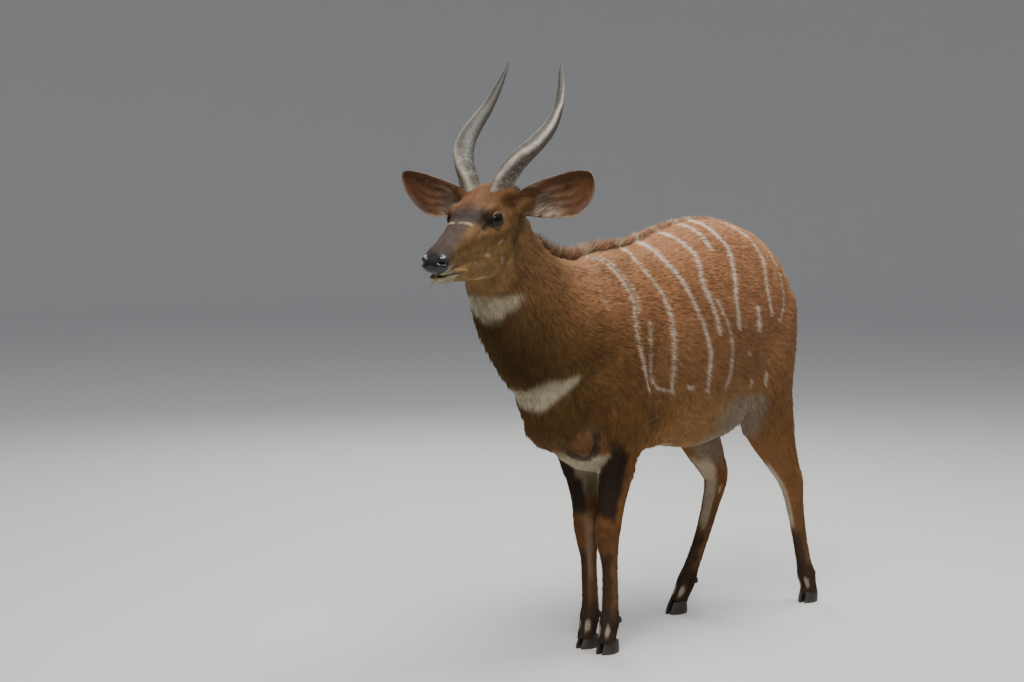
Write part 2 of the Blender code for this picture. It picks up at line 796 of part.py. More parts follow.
def tail_solid(torso):
    """The tail, set in a shallow socket of the rump, and the locks of its tuft."""
    chance = random.Random(5)
    rows = tail_rows(surface_tree(torso))
    tail = limb("tail", rows, 18, 12)
    cut(torso, swollen(tail, 1.6 * GAP), "DIFFERENCE")
    end = Vector(rows[-1][:3])
    locks = []
    for k in range(TUFT_LOCKS):
        angle = 2.4 * k
        t = k / TUFT_LOCKS
        out = Vector((math.cos(angle), math.sin(angle), 0.0))
        root = end + Vector((0, 0, 0.105 * (1 - t) + 0.012)) + out * 0.004
        flow = Vector((0, 0, -1.0)) + out * chance.uniform(0.10, 0.22)
        length = chance.uniform(0.075, 0.10)
        locks.append(lock("lock", root, flow, out, length, 0.016, 0.008, 0.02))
    union_locks(tail, locks)
    return tail


def shift_to_base(nodes):
    """Moves the whole animal so that its origin is under the middle of its box."""
    low = Vector((1e9,) * 3)
    high = Vector((-1e9,) * 3)
    for item in nodes:
        for vert in item.data.vertices:
            place = item.matrix_world @ vert.co
            low = Vector(map(min, low, place))
            high = Vector(map(max, high, place))
    move = Vector((-(low.x + high.x) / 2, -(low.y + high.y) / 2, -low.z))
    for item in nodes:
        item.data.transform(Matrix.Translation(move))


def build_body():
    """Torso, neck and legs, parted from one fused skin."""
    body = join("torso", body_tubes())
    fuse(body, BODY_VOXEL, 12, BODY_TRIANGLES)
    cut(body, past_plane(NECK_TOP, NECK_TOP_NORMAL, Vector((1, 0, 0)))[1], "DIFFERENCE")
    bpy.data.objects.remove(bpy.data.objects["inner"], do_unlink=True)
    made = [part_off(body, "neck", past_plane(NECK_BASE, NECK_BASE_NORMAL, Vector((1, 0, 0))))]
    for side, label in ((1, "left"), (-1, "right")):
        made.append(part_off(body, "leg_fore_%s" % label, round_leg(side, -0.185, 0.085, 0.465, 1.15)))
        made.append(part_off(body, "leg_hind_%s" % label, round_leg(side, 0.400, 0.950, 0.580, 1.15)))
    return [body] + made


def build_head():
    """The head, parted from the neck on the plane that the neck ends on."""
    whole = join("whole", head_tubes() + neck_tubes())
    fuse(whole, HEAD_VOXEL, 5, HEAD_TRIANGLES)
    head = part_off(whole, "head", past_plane(NECK_TOP, NECK_TOP_NORMAL, Vector((1, 0, 0))))
    bpy.data.objects.remove(whole, do_unlink=True)
    carve_head(head)
    made = [head]
    for side, label in ((1, "left"), (-1, "right")):
        root, along, across, face, length = ear_path(side)
        plane = root + along * EAR_CUT
        ear = ear_shell("ear_%s" % label, side)
        cut(ear, cut_disc("keep", plane + along * GAP / 2, along, 0.20, 0.40), "INTERSECT")
        keep_largest(ear)
        cut(head, cut_disc("drop", plane - along * GAP / 2, along, 0.055, 0.08), "DIFFERENCE")
        path = horn_path(side)
        way = (path[2] - path[0]).normalized()
        seat = in_head(HORN_ROOT, side) + way * HORN_CUT
        horn = horn_solid("horn_%s" % label, side)
        cut(horn, cut_disc("keep", seat + way * GAP / 2, way, 0.50, 1.20), "INTERSECT")
        keep_largest(horn)
        cut(head, cut_disc("drop", seat - way * GAP / 2, way, 0.036, 0.06), "DIFFERENCE")
        eye = ball("eye_%s" % label, in_head(EYE_PLACE, side), (EYE_RADIUS,) * 3, None, 14, 9)
        made += [ear, horn, eye]
    keep_largest(head)
    return made


def dress(nodes):
    """Gives each node its material and smooth shading."""
    for item in nodes:
        kind = item.name.split("_")[0]
        kind = {"horn": "horn", "hoof": "hoof", "eye": "eye", "neck": "neck"}.get(kind, "coat")
        rough = {"eye": 0.1, "horn": 0.5, "hoof": 0.5}.get(kind, 0.8)
        item.data.materials.clear()
        item.data.materials.append(principled(item.name, COLOURS[kind], rough))
        item.data.shade_smooth()
        item.data.set_sharp_from_angle(angle=math.radians(40))


def main():
    clear_scene()
    nodes = build_body() + build_head()
    crest(nodes[0])
    nodes.append(tail_solid(nodes[0]))
    nodes += hooves()
    shift_to_base(nodes)
    dress(nodes)


main()
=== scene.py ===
# Bongo antelope, life size, in a quiet standing pose: one skin under a coat of small tufts,
# with cupped ears, wet eyes, keeled horns, cloven hooves, a dorsal crest and a tufted tail.
import math
import bmesh
import bpy
import numpy as np
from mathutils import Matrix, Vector
from mathutils.kdtree import KDTree


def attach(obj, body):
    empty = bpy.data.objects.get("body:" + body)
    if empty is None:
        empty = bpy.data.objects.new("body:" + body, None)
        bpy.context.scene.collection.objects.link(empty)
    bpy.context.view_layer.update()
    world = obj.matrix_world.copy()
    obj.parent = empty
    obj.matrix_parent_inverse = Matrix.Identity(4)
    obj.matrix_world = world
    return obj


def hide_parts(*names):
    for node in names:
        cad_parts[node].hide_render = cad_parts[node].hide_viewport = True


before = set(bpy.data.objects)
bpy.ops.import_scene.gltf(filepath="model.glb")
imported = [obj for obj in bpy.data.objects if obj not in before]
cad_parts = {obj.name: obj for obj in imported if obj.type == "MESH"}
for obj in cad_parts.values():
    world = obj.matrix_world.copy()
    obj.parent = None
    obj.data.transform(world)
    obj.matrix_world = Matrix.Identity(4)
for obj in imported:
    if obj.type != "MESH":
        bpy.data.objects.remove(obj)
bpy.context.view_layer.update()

# Shapes are worked out with the forefeet near the origin, then moved onto the CAD by this much
stand = {"move": np.array([-0.01093, -0.02579, 0.0]), "body": "root", "seed": 7}


# Small tools for shapes
def unit(v):
    return v / np.maximum(np.linalg.norm(v, axis=-1, keepdims=True), 1e-12)


def step(a, b, x):
    # smooth step: 0 below a, 1 above b, 3t^2 - 2t^3 between
    t = np.clip((x - a) / (b - a), 0.0, 1.0)
    return t * t * (3.0 - 2.0 * t)


def curveThrough(rows, count):
    # Catmull-Rom curve through the rows, read at even steps of its own length
    table = np.asarray(rows, float)
    ends = np.vstack([2 * table[0] - table[1], table, 2 * table[-1] - table[-2]])
    u = np.linspace(0.0, len(table) - 1, (len(table) - 1) * 24 + 1)
    k = np.minimum(u.astype(int), len(table) - 2)
    t = (u - k)[:, None]
    a, b, c, d = ends[k], ends[k + 1], ends[k + 2], ends[k + 3]
    fine = 0.5 * (2 * b + (c - a) * t + (2 * a - 5 * b + 4 * c - d) * t ** 2 + (3 * b - a - 3 * c + d) * t ** 3)
    run = np.concatenate([[0.0], np.cumsum(np.linalg.norm(np.diff(fine, axis=0), axis=1))])
    want = np.linspace(0.0, run[-1], count)
    return np.stack([np.interp(want, run, fine[:, j]) for j in range(fine.shape[1])], 1)


def ovals(centres, side, rise, width, depth, around, power=2.0):
    # ring(s, a) = centre(s) + side(s) w(s) cos^(2/p) a + rise(s) d(s) sin^(2/p) a, signs kept
    a = np.linspace(0.0, 2 * np.pi, around, endpoint=False)
    x = np.sign(np.cos(a)) * np.abs(np.cos(a)) ** (2 / power)
    z = np.sign(np.sin(a)) * np.abs(np.sin(a)) ** (2 / power)
    return (centres[:, None] + side[:, None] * (width[:, None] * x)[..., None]
            + rise[:, None] * (depth[:, None] * z)[..., None])


def closedTube(rings):
    # quads between neighbouring rings, and a fan to the middle of each end
    n, m = rings.shape[:2]
    i, j = np.meshgrid(np.arange(n - 1), np.arange(m), indexing="ij")
    k = (j + 1) % m
    quads = np.stack([i * m + j, i * m + k, (i + 1) * m + k, (i + 1) * m + j], -1).reshape(-1, 4)
    points = np.vstack([rings.reshape(-1, 3), rings[0].mean(0), rings[-1].mean(0)])
    j = np.arange(m)
    k = (j + 1) % m
    low = np.stack([k, j, np.full(m, n * m)], -1)
    high = np.stack([(n - 1) * m + j, (n - 1) * m + k, np.full(m, n * m + 1)], -1)
    return points, quads.tolist() + low.tolist() + high.tolist()


def limbTube(rows, count, around, power=2.0, aside=(1.0, 0.0, 0.0)):
    # an oval of half width and half depth carried along a path; its width stays level with aside
    t = curveThrough(rows, count)
    along = unit(np.gradient(t[:, :3], axis=0))
    aside = np.asarray(aside, float)
    side = unit(aside - along * (along @ aside)[:, None])
    return closedTube(ovals(t[:, :3], side, np.cross(along, side), t[:, 3], t[:, 4], around, power))


def sectionTube(rows, count, origin, ahead, left, up, around, power):
    # sections across a straight axis: top, bottom and half width at each place along it
    t = curveThrough(rows, count)
    centres = origin + t[:, :1] * ahead + ((t[:, 1] + t[:, 2]) / 2)[:, None] * up
    n = len(t)
    return closedTube(ovals(centres, np.tile(left, (n, 1)), np.tile(up, (n, 1)), t[:, 3],
                            (t[:, 1] - t[:, 2]) / 2, around, power))


def egg(centre, radii, axes, rings=14, around=20):
    # p(u, v) = centre + axes (rx cos u, ry sin u cos v, rz sin u sin v)
    u = np.linspace(0.06, np.pi - 0.06, rings)[:, None]
    v = np.linspace(0, 2 * np.pi, around, endpoint=False)[None]
    local = np.stack([np.cos(u) + 0 * v, np.sin(u) * np.cos(v), np.sin(u) * np.sin(v)], -1) * np.asarray(radii)
    return closedTube(np.asarray(centre) + local @ np.asarray(axes))


def together(shapes):
    # several point and face lists as one
    points, faces, base = [], [], 0
    for p, f in shapes:
        points.append(p)
        faces += [[i + base for i in face] for face in f]
        base += len(p)
    return np.vstack(points), faces


def newPiece(name, points, faces):
    mesh = bpy.data.meshes.new(name)
    mesh.from_pydata(points.tolist(), [], faces if isinstance(faces, list) else faces.tolist())
    mesh.validate()
    item = bpy.data.objects.new(name, mesh)
    bpy.context.scene.collection.objects.link(item)
    return item


def outward(item):
    shape = bmesh.new()
    shape.from_mesh(item.data)
    bmesh.ops.recalc_face_normals(shape, faces=shape.faces)
    shape.to_mesh(item.data)
    shape.free()


def settle(item):
    # the mesh that the modifiers give, kept as the object's own
    graph = bpy.context.evaluated_depsgraph_get()
    graph.update()
    mesh = bpy.data.meshes.new_from_object(item.evaluated_get(graph))
    item.modifiers.clear()
    old = item.data
    item.data = mesh
    bpy.data.meshes.remove(old)


def pointsOf(mesh):
    p = np.empty(len(mesh.vertices) * 3)
    mesh.vertices.foreach_get("co", p)
    return p.reshape(-1, 3)


def trianglesOf(mesh):
    mesh.calc_loop_triangles()
    f = np.empty(len(mesh.loop_triangles) * 3, np.int32)
    mesh.loop_triangles.foreach_get("vertices", f)
    return f.reshape(-1, 3)


def pointNormals(p, f):
    # each corner gets the sum of its triangles' area vectors
    cross = np.cross(p[f[:, 1]] - p[f[:, 0]], p[f[:, 2]] - p[f[:, 0]])
    n = np.zeros_like(p)
    for axis in range(3):
        n[:, axis] = np.bincount(f.ravel(), np.repeat(cross[:, axis], 3), len(p))
    return unit(n)


def lattice(p, size, seed):
    # smooth noise from 0 to 1: hashed corners of a cube grid, blended by 3t^2 - 2t^3
    q = p / size + 100.0
    k = np.floor(q).astype(np.int64)
    t = q - k
    t = t * t * (3 - 2 * t)
    total = np.zeros(len(p))
    for corner in range(8):
        d = np.array([corner & 1, corner >> 1 & 1, corner >> 2 & 1])
        c = k + d
        h = (c[:, 0] * 73856093) ^ (c[:, 1] * 19349663) ^ (c[:, 2] * 83492791) ^ (seed * 2654435)
        h = (h * 1103515245 + 12345) & 0x7fffffff
        h = (h ^ (h >> 13)) * 1274126177 & 0x7fffffff
        total += np.prod(np.where(d, t, 1 - t), 1) * (h / 0x7fffffff)
    return total


def nearLine(p, line, n=None):
    # distance to a polyline, and how far along it (0 to 1) the nearest place is; with normals, the distance
    # is taken along the skin, without the part that runs through it
    line = np.asarray(line, float)
    best = np.full(len(p), 1e9)
    where = np.zeros(len(p))
    offset = np.zeros_like(p)
    for k in range(len(line) - 1):
        a, b = line[k], line[k + 1]
        t = np.clip((p - a) @ (b - a) / max((b - a) @ (b - a), 1e-12), 0, 1)
        away = p - a - t[:, None] * (b - a)
        d = np.linalg.norm(away, axis=1)
        closer = d < best
        best = np.where(closer, d, best)
        where = np.where(closer, (k + t) / (len(line) - 1), where)
        offset = np.where(closer[:, None], away, offset)
    if n is not None:
        best = np.linalg.norm(offset - n * np.sum(offset * n, 1)[:, None], axis=1) + np.maximum(best - 0.05, 0)
    return best, where


def mirrored(p):
    # places on the right half as their twins on the left half
    return np.stack([np.abs(p[:, 0]), p[:, 1], p[:, 2]], 1)


def mirroredWays(p, n):
    # the skin's way at those twins
    return np.stack([np.where(p[:, 0] < 0, -1.0, 1.0) * n[:, 0], n[:, 1], n[:, 2]], 1)


head = {"origin": np.array([0.003, -0.465, 1.213]), "yaw": math.radians(15.0), "pitch": math.radians(16.6)}
ahead = np.array([math.sin(head["yaw"]) * math.cos(head["pitch"]),
                  -math.cos(head["yaw"]) * math.cos(head["pitch"]), -math.sin(head["pitch"])])
left = np.array([math.cos(head["yaw"]), math.sin(head["yaw"]), 0.0])
crown = np.cross(ahead, left)
headAxes = np.array([ahead, left, crown])


def inHead(point, side=1):
    q = np.asarray(point, float) * np.array([1, side, 1])
    return head["origin"] + q @ headAxes


def headPlace(p):
    # forward, out from the middle (always positive), up
    q = (p - head["origin"]) @ headAxes.T
    return np.stack([q[:, 0], np.abs(q[:, 1]), q[:, 2]], 1), np.sign(q[:, 1])


# Body, measured along its parts
body = {
    # place along Y, top, bottom, half width
    "torso": ((-0.355, 0.850, 0.710, 0.045), (-0.290, 1.000, 0.615, 0.102), (-0.180, 1.078, 0.535, 0.143),
              (-0.050, 1.102, 0.497, 0.164), (0.060, 1.113, 0.505, 0.176), (0.170, 1.143, 0.545, 0.192),
              (0.290, 1.170, 0.530, 0.203), (0.400, 1.180, 0.525, 0.203), (0.500, 1.173, 0.555, 0.196),
              (0.600, 1.149, 0.625, 0.182), (0.680, 1.104, 0.700, 0.157), (0.745, 1.035, 0.780, 0.118),
              (0.792, 0.960, 0.850, 0.056)),
    # centre, half width, half depth
    "neck": ((0.0, -0.080, 0.830, 0.148, 0.230), (0.0, -0.235, 0.888, 0.136, 0.207),
             (0.003, -0.358, 0.962, 0.109, 0.166), (0.005, -0.434, 1.043, 0.088, 0.138),
             (0.006, -0.472, 1.118, 0.078, 0.120), (0.006, -0.488, 1.178, 0.070, 0.100)),
    "foreLeft": ((0.085, 0.000, 0.960, 0.050, 0.105), (0.104, -0.055, 0.830, 0.066, 0.135),
                 (0.098, -0.075, 0.700, 0.062, 0.117), (0.081, -0.062, 0.590, 0.053, 0.079),
                 (0.066, -0.055, 0.500, 0.044, 0.058), (0.053, -0.057, 0.420, 0.035, 0.045),
                 (0.046, -0.062, 0.345, 0.033, 0.039), (0.044, -0.060, 0.300, 0.028, 0.033),
                 (0.044, -0.053, 0.250, 0.0215, 0.026), (0.044, -0.050, 0.200, 0.0205, 0.0245),
                 (0.043, -0.048, 0.125, 0.0215, 0.026), (0.043, -0.050, 0.088, 0.0260, 0.030),
                 (0.043, -0.058, 0.055, 0.0245, 0.027), (0.043, -0.063, 0.028, 0.0255, 0.029)),
    "foreRight": ((-0.085, 0.000, 0.960, 0.050, 0.105), (-0.104, -0.050, 0.830, 0.066, 0.135),
                  (-0.098, -0.068, 0.700, 0.062, 0.117), (-0.080, -0.053, 0.590, 0.053, 0.079),
                  (-0.064, -0.043, 0.500, 0.044, 0.058), (-0.050, -0.042, 0.420, 0.035, 0.045),
                  (-0.043, -0.045, 0.345, 0.033, 0.039), (-0.041, -0.043, 0.300, 0.028, 0.033),
                  (-0.041, -0.036, 0.250, 0.0215, 0.026), (-0.041, -0.033, 0.200, 0.0205, 0.0245),
                  (-0.040, -0.030, 0.125, 0.0215, 0.026), (-0.040, -0.032, 0.088, 0.0260, 0.030),
                  (-0.040, -0.040, 0.055, 0.0245, 0.027), (-0.040, -0.045, 0.028, 0.0255, 0.029)),
    "hindLeft": ((0.085, 0.600, 0.960, 0.085, 0.170), (0.112, 0.582, 0.830, 0.082, 0.150),
                 (0.116, 0.584, 0.710, 0.075, 0.141), (0.116, 0.622, 0.600, 0.061, 0.113),
                 (0.114, 0.685, 0.500, 0.044, 0.078), (0.112, 0.738, 0.425, 0.033, 0.053),
                 (0.112, 0.768, 0.375, 0.030, 0.044), (0.113, 0.785, 0.310, 0.0245, 0.032),
                 (0.114, 0.812, 0.210, 0.0205, 0.0255), (0.115, 0.836, 0.130, 0.0210, 0.026),
                 (0.116, 0.850, 0.088, 0.0260, 0.030), (0.116, 0.862, 0.055, 0.0245, 0.027),
                 (0.116, 0.866, 0.028, 0.0260, 0.030)),
    "hindRight": ((-0.085, 0.600, 0.960, 0.085, 0.170), (-0.112, 0.572, 0.830, 0.082, 0.150),
                  (-0.116, 0.550, 0.710, 0.075, 0.141), (-0.118, 0.570, 0.600, 0.062, 0.112),
                  (-0.112, 0.612, 0.510, 0.045, 0.082), (-0.107, 0.655, 0.440, 0.035, 0.060),
                  (-0.105, 0.680, 0.385, 0.031, 0.046), (-0.104, 0.654, 0.310, 0.0245, 0.033),
                  (-0.102, 0.602, 0.210, 0.0205, 0.0255), (-0.101, 0.550, 0.130, 0.0210, 0.026),
                  (-0.100, 0.520, 0.088, 0.0260, 0.030), (-0.100, 0.496, 0.055, 0.0245, 0.027),
                  (-0.100, 0.476, 0.028, 0.0250, 0.028)),
    "tail": ((0.0, 0.745, 1.019, 0.022, 0.017), (0.0, 0.775, 1.012, 0.022, 0.017),
             (0.004, 0.797, 0.975, 0.019, 0.015),
             (-0.003, 0.811, 0.910, 0.017, 0.013), (-0.001, 0.811, 0.830, 0.014, 0.011),
             (0.004, 0.810, 0.750, 0.010, 0.009), (0.002, 0.809, 0.700, 0.008, 0.007)),
    "voxel": 0.0030, "softening": 90, "bodyTriangles": 60000,
    # how deep the skin lies under the tips of the hair
    "coatDepth": {"torso": 0.0042, "neck": 0.0062, "legs": 0.0016, "head": 0.0013},
}

skull = {
    # forward, top, bottom, half width
    "dome": ((-0.045, 0.052, -0.050, 0.048), (0.000, 0.078, -0.085, 0.066), (0.055, 0.088, -0.112, 0.073),
             (0.110, 0.087, -0.112, 0.071), (0.160, 0.075, -0.090, 0.063), (0.215, 0.057, -0.070, 0.050),
             (0.270, 0.041, -0.055, 0.041), (0.325, 0.029, -0.042, 0.037), (0.370, 0.020, -0.037, 0.037),
             (0.397, 0.007, -0.033, 0.030), (0.407, -0.006, -0.022, 0.016)),
    "jaw": ((0.000, 0.000, -0.090, 0.046), (0.055, -0.015, -0.118, 0.055), (0.105, -0.030, -0.130, 0.056),
            (0.160, -0.040, -0.124, 0.050), (0.220, -0.030, -0.110, 0.040), (0.280, -0.022, -0.092, 0.032),
            (0.330, -0.025, -0.077, 0.028), (0.368, -0.030, -0.069, 0.025), (0.386, -0.040, -0.059, 0.014)),
    "mouth": ((0.393, 0.000, -0.037), (0.391, 0.004, -0.038), (0.384, 0.017, -0.041), (0.366, 0.027, -0.044),
              (0.340, 0.032, -0.050), (0.312, 0.036, -0.058), (0.290, 0.040, -0.067)),
    "eye": (0.1480, 0.0530, 0.0245), "eyeRadius": 0.0215, "eyeFacing": (0.62, 0.77, 0.12),
}
neckTop = {"at": np.array([0.0, -0.468, 1.145]), "way": unit(np.array([0.15, -0.84, 0.54]))}
neckBase = {"at": np.array([0.0, -0.325, 0.900]), "way": unit(np.array([0.0, -0.95, 0.30]))}


def lipRoll(side, lift, radius):
    # a soft roll beside the mouth line, thinner towards the corner
    line = np.array(skull["mouth"][1:])
    k = np.arange(len(line))
    place = line * [1, 0.84, 1] + np.stack([-0.003 + 0 * k, 0 * k, lift * (1 - 0.1 * k)], 1)
    size = radius * (1.0 - 0.11 * k)
    rows = np.column_stack([inHead(place, side), size, size])
    return limbTube(rows, 12, 10, 2.0, crown)


def headTubes():
    axes = headAxes
    shapes = [sectionTube(skull["dome"], 60, head["origin"], ahead, left, crown, 56, 2.25),
              sectionTube(skull["jaw"], 44, head["origin"], ahead, left, crown, 48, 2.2)]
    for side in (1, -1):
        shapes.append(egg(inHead((0.120, 0.034, -0.058), side), (0.075, 0.032, 0.056), axes))
        shapes.append(egg(inHead((0.150, 0.044, 0.047), side), (0.040, 0.022, 0.020), axes))
        shapes.append(egg(inHead(skull["eye"], side), (0.0235,) * 3, axes))
        shapes.append(egg(inHead((0.384, 0.020, -0.006), side), (0.022, 0.016, 0.018), axes))
        shapes.append(lipRoll(side, -0.0065, 0.0072))
        shapes.append(lipRoll(side, 0.0082, 0.0078))
        shapes.append(egg(inHead((0.066, 0.047, 0.066), side), (0.036, 0.033, 0.028), axes))
        shapes.append(egg(inHead((0.055, 0.063, 0.062), side), (0.030, 0.018, 0.023), axes))
        root, along, across, face, length = earLine(side)
        t = np.array([-0.12, 0.0, 0.08, 0.14, 0.19, 0.22])
        r = np.array([0.020, 0.0245, 0.0235, 0.0200, 0.0140, 0.0060])
        shapes.append(closedTube(ovals(root + along * (t * length)[:, None] - face * 0.003,
                                       np.tile(across, (6, 1)),
                                       np.tile(face, (6, 1)), r * 1.15, r * 0.9, 24)))
    return shapes


ear = {"root": (0.030, 0.058, 0.024), "tip": (0.006, 0.266, 0.101), "width": 0.125, "wall": 0.0026,
       "opens": (0.93, 0.22, -0.10), "rows": 56, "columns": 33, "hairOutside": 10500, "hairInside": 9000}


def earLine(side):
    # root, and the ear's own axes: along it, across it, and the way it opens
    root, tip = inHead(ear["root"], side), inHead(ear["tip"], side)
    along = unit(tip - root)
    face = np.asarray(ear["opens"]) * [1, side, 1] @ headAxes
    face = unit(face - along * (face @ along))
    return root, along, np.cross(face, along) * side, face, np.linalg.norm(tip - root)


def buildSkin():
    # all tubes fused by a voxel shell, softened where parts join, thinned on the body, finer on the face
    shapes = [sectionTube(body["torso"], 90, np.zeros(3), np.array([0.0, 1, 0]), np.array([1.0, 0, 0]),
                          np.array([0.0, 0, 1]), 96, 2.15),
              limbTube(body["neck"], 50, 80)]
    for name in ("foreLeft", "foreRight", "hindLeft", "hindRight"):
        shapes.append(limbTube(body[name], 110, 48))
    shapes.append(limbTube(body["tail"], 60, 24))
    shapes += headTubes()
    skin = newPiece("skin", *together(shapes))
    outward(skin)
    fuse = skin.modifiers.new("fuse", "REMESH")
    fuse.mode = "VOXEL"
    fuse.voxel_size = body["voxel"]
    settle(skin)
    p = pointsOf(skin.data)
    amount = softness(p)
    for level in range(1, 6):
        group = skin.vertex_groups.new(name="soft%d" % level)
        chosen = np.nonzero(np.round(amount * 5).astype(int) == level)[0]
        if len(chosen):
            group.add(chosen.tolist(), 1.0, "REPLACE")
        soften = skin.modifiers.new("soft%d" % level, "SMOOTH")
        soften.factor = 0.5
        soften.iterations = int(body["softening"] * level / 5)
        soften.vertex_group = group.name
    even = skin.modifiers.new("even", "SMOOTH")
    even.factor = 0.5
    even.iterations = 4
    cutUp = skin.modifiers.new("cutUp", "TRIANGULATE")
    cutUp.min_vertices = 4
    settle(skin)
    skin.vertex_groups.clear()
    return skin


def softness(p):
    # full on trunk and neck, little on head, lower legs and tail
    onHead = step(-0.035, 0.035, (p - neckTop["at"]) @ neckTop["way"])
    onLegs = 1.0 - step(0.44, 0.68, p[:, 2]) * step(0.36, 0.56, p[:, 2])
    onTail = step(0.775, 0.800, p[:, 1]) * (p[:, 2] < 1.03) * (p[:, 2] > 0.50) * (np.abs(p[:, 0]) < 0.05)
    return np.clip(1.0 - 0.93 * onHead - 0.93 * onLegs - 0.95 * onTail, 0.06, 1.0)


# Forms raised and sunk in the skin
# each stroke: a line over the skin, its reach, and how far the skin rises (+) or sinks (-) there
headStrokes = (
    (((0.177, 0.057, 0.0235), (0.198, 0.048, 0.0215), (0.228, 0.042, 0.009)), 0.0060, -0.0026),
    (((0.125, 0.068, 0.0415), (0.151, 0.067, 0.0515), (0.183, 0.055, 0.0415)), 0.0045, -0.0018),
    (((0.215, 0.047, 0.004), (0.165, 0.066, -0.006), (0.100, 0.074, -0.012)), 0.0120, 0.0030),
    (((0.245, 0.044, -0.008), (0.290, 0.038, -0.010), (0.325, 0.036, -0.010)), 0.0150, -0.0028),
    (((0.205, 0.018, 0.060), (0.290, 0.016, 0.040), (0.360, 0.014, 0.024)), 0.0100, 0.0012),
    (((0.205, 0.000, 0.060), (0.300, 0.000, 0.038)), 0.0080, -0.0010),
    (((0.085, 0.060, -0.040), (0.080, 0.056, -0.095), (0.115, 0.050, -0.125)), 0.0160, 0.0030),
    (((0.190, 0.048, -0.070), (0.230, 0.040, -0.060)), 0.0180, -0.0022),
    (((0.088, 0.072, 0.034),), 0.0200, -0.0030),
    (((0.376, 0.000, -0.062),), 0.0150, 0.0015),
    (((0.050, 0.000, 0.090), (0.110, 0.000, 0.090)), 0.0180, 0.0030),
)
muzzleStrokes = (
    (((0.408, 0.000, -0.003), (0.404, 0.000, -0.036)), 0.0022, -0.0020),
    (((0.394, 0.020, 0.011), (0.402, 0.030, 0.004), (0.394, 0.040, -0.006), (0.382, 0.041, -0.012)), 0.0050,
     0.0026),
    (((0.402, 0.018, -0.012), (0.392, 0.032, -0.018)), 0.0045, 0.0014),
    (((0.401, 0.022, 0.000), (0.398, 0.030, -0.004), (0.388, 0.037, -0.007)), 0.0046, -0.0120),
    (((0.385, 0.038, -0.006), (0.374, 0.040, -0.002)), 0.0024, -0.0040),
)
foldLine = ((0.030, -0.262, 0.608), (0.030, -0.229, 0.574), (0.036, -0.196, 0.554), (0.048, -0.170, 0.546),
            (0.067, -0.160, 0.553), (0.085, -0.166, 0.573), (0.098, -0.178, 0.596), (0.104, -0.190, 0.620),
            (0.104, -0.212, 0.642))
elbowLine = ((0.168, -0.030, 0.765), (0.166, -0.008, 0.716), (0.158, 0.000, 0.662), (0.146, 0.006, 0.622))
creases = ((foldLine, 0.0085, -0.0120), (elbowLine, 0.0120, -0.0090))
bodyStrokes = (
    # shoulder blade, and the hollows before and behind it
    (((0.055, -0.110, 1.070), (0.110, -0.150, 0.930), (0.135, -0.195, 0.760)), 0.045, 0.0060),
    (((0.140, 0.040, 1.030), (0.168, 0.055, 0.860), (0.150, 0.050, 0.640)), 0.034, -0.0050),
    (((0.085, -0.250, 1.040), (0.125, -0.280, 0.900), (0.110, -0.300, 0.790)), 0.028, -0.0055),
    (((0.150, -0.060, 0.700), (0.135, -0.070, 0.620)), 0.050, 0.0055),
    (((0.128, -0.215, 0.730),), 0.045, 0.0050),
    # the soft fold of the brisket and the crease under it
    (((0.070, -0.238, 0.630), (0.074, -0.208, 0.602)), 0.028, 0.0190),
    (((0.150, 0.020, 0.600), (0.150, 0.060, 0.680)), 0.022, -0.0050),
    (((0.000, 0.085, 0.507), (0.090, 0.080, 0.517), (0.150, 0.070, 0.560)), 0.050, -0.0330),
    # hip, the hollow flank before it, the fold to the stifle and the lines of the thigh
    (((0.125, 0.500, 1.120), (0.160, 0.520, 1.060)), 0.032, 0.0050),
    (((0.165, 0.415, 1.060), (0.188, 0.400, 0.960)), 0.042, -0.0080),
    (((0.190, 0.455, 0.860), (0.178, 0.410, 0.760), (0.150, 0.400, 0.650)), 0.024, 0.0055),
    (((0.195, 0.340, 0.820), (0.180, 0.330, 0.700)), 0.030, -0.0040),
    (((0.160, 0.620, 0.980), (0.165, 0.660, 0.800), (0.140, 0.680, 0.660)), 0.026, -0.0045),
    (((0.150, 0.700, 0.900), (0.140, 0.720, 0.760)), 0.030, 0.0040),
    (((0.198, 0.180, 0.700), (0.190, 0.320, 0.740)), 0.035, 0.0030),
    # the edge of the ribs
    (((0.188, 0.150, 0.960), (0.200, 0.250, 0.820), (0.190, 0.300, 0.700)), 0.022, -0.0022),
)
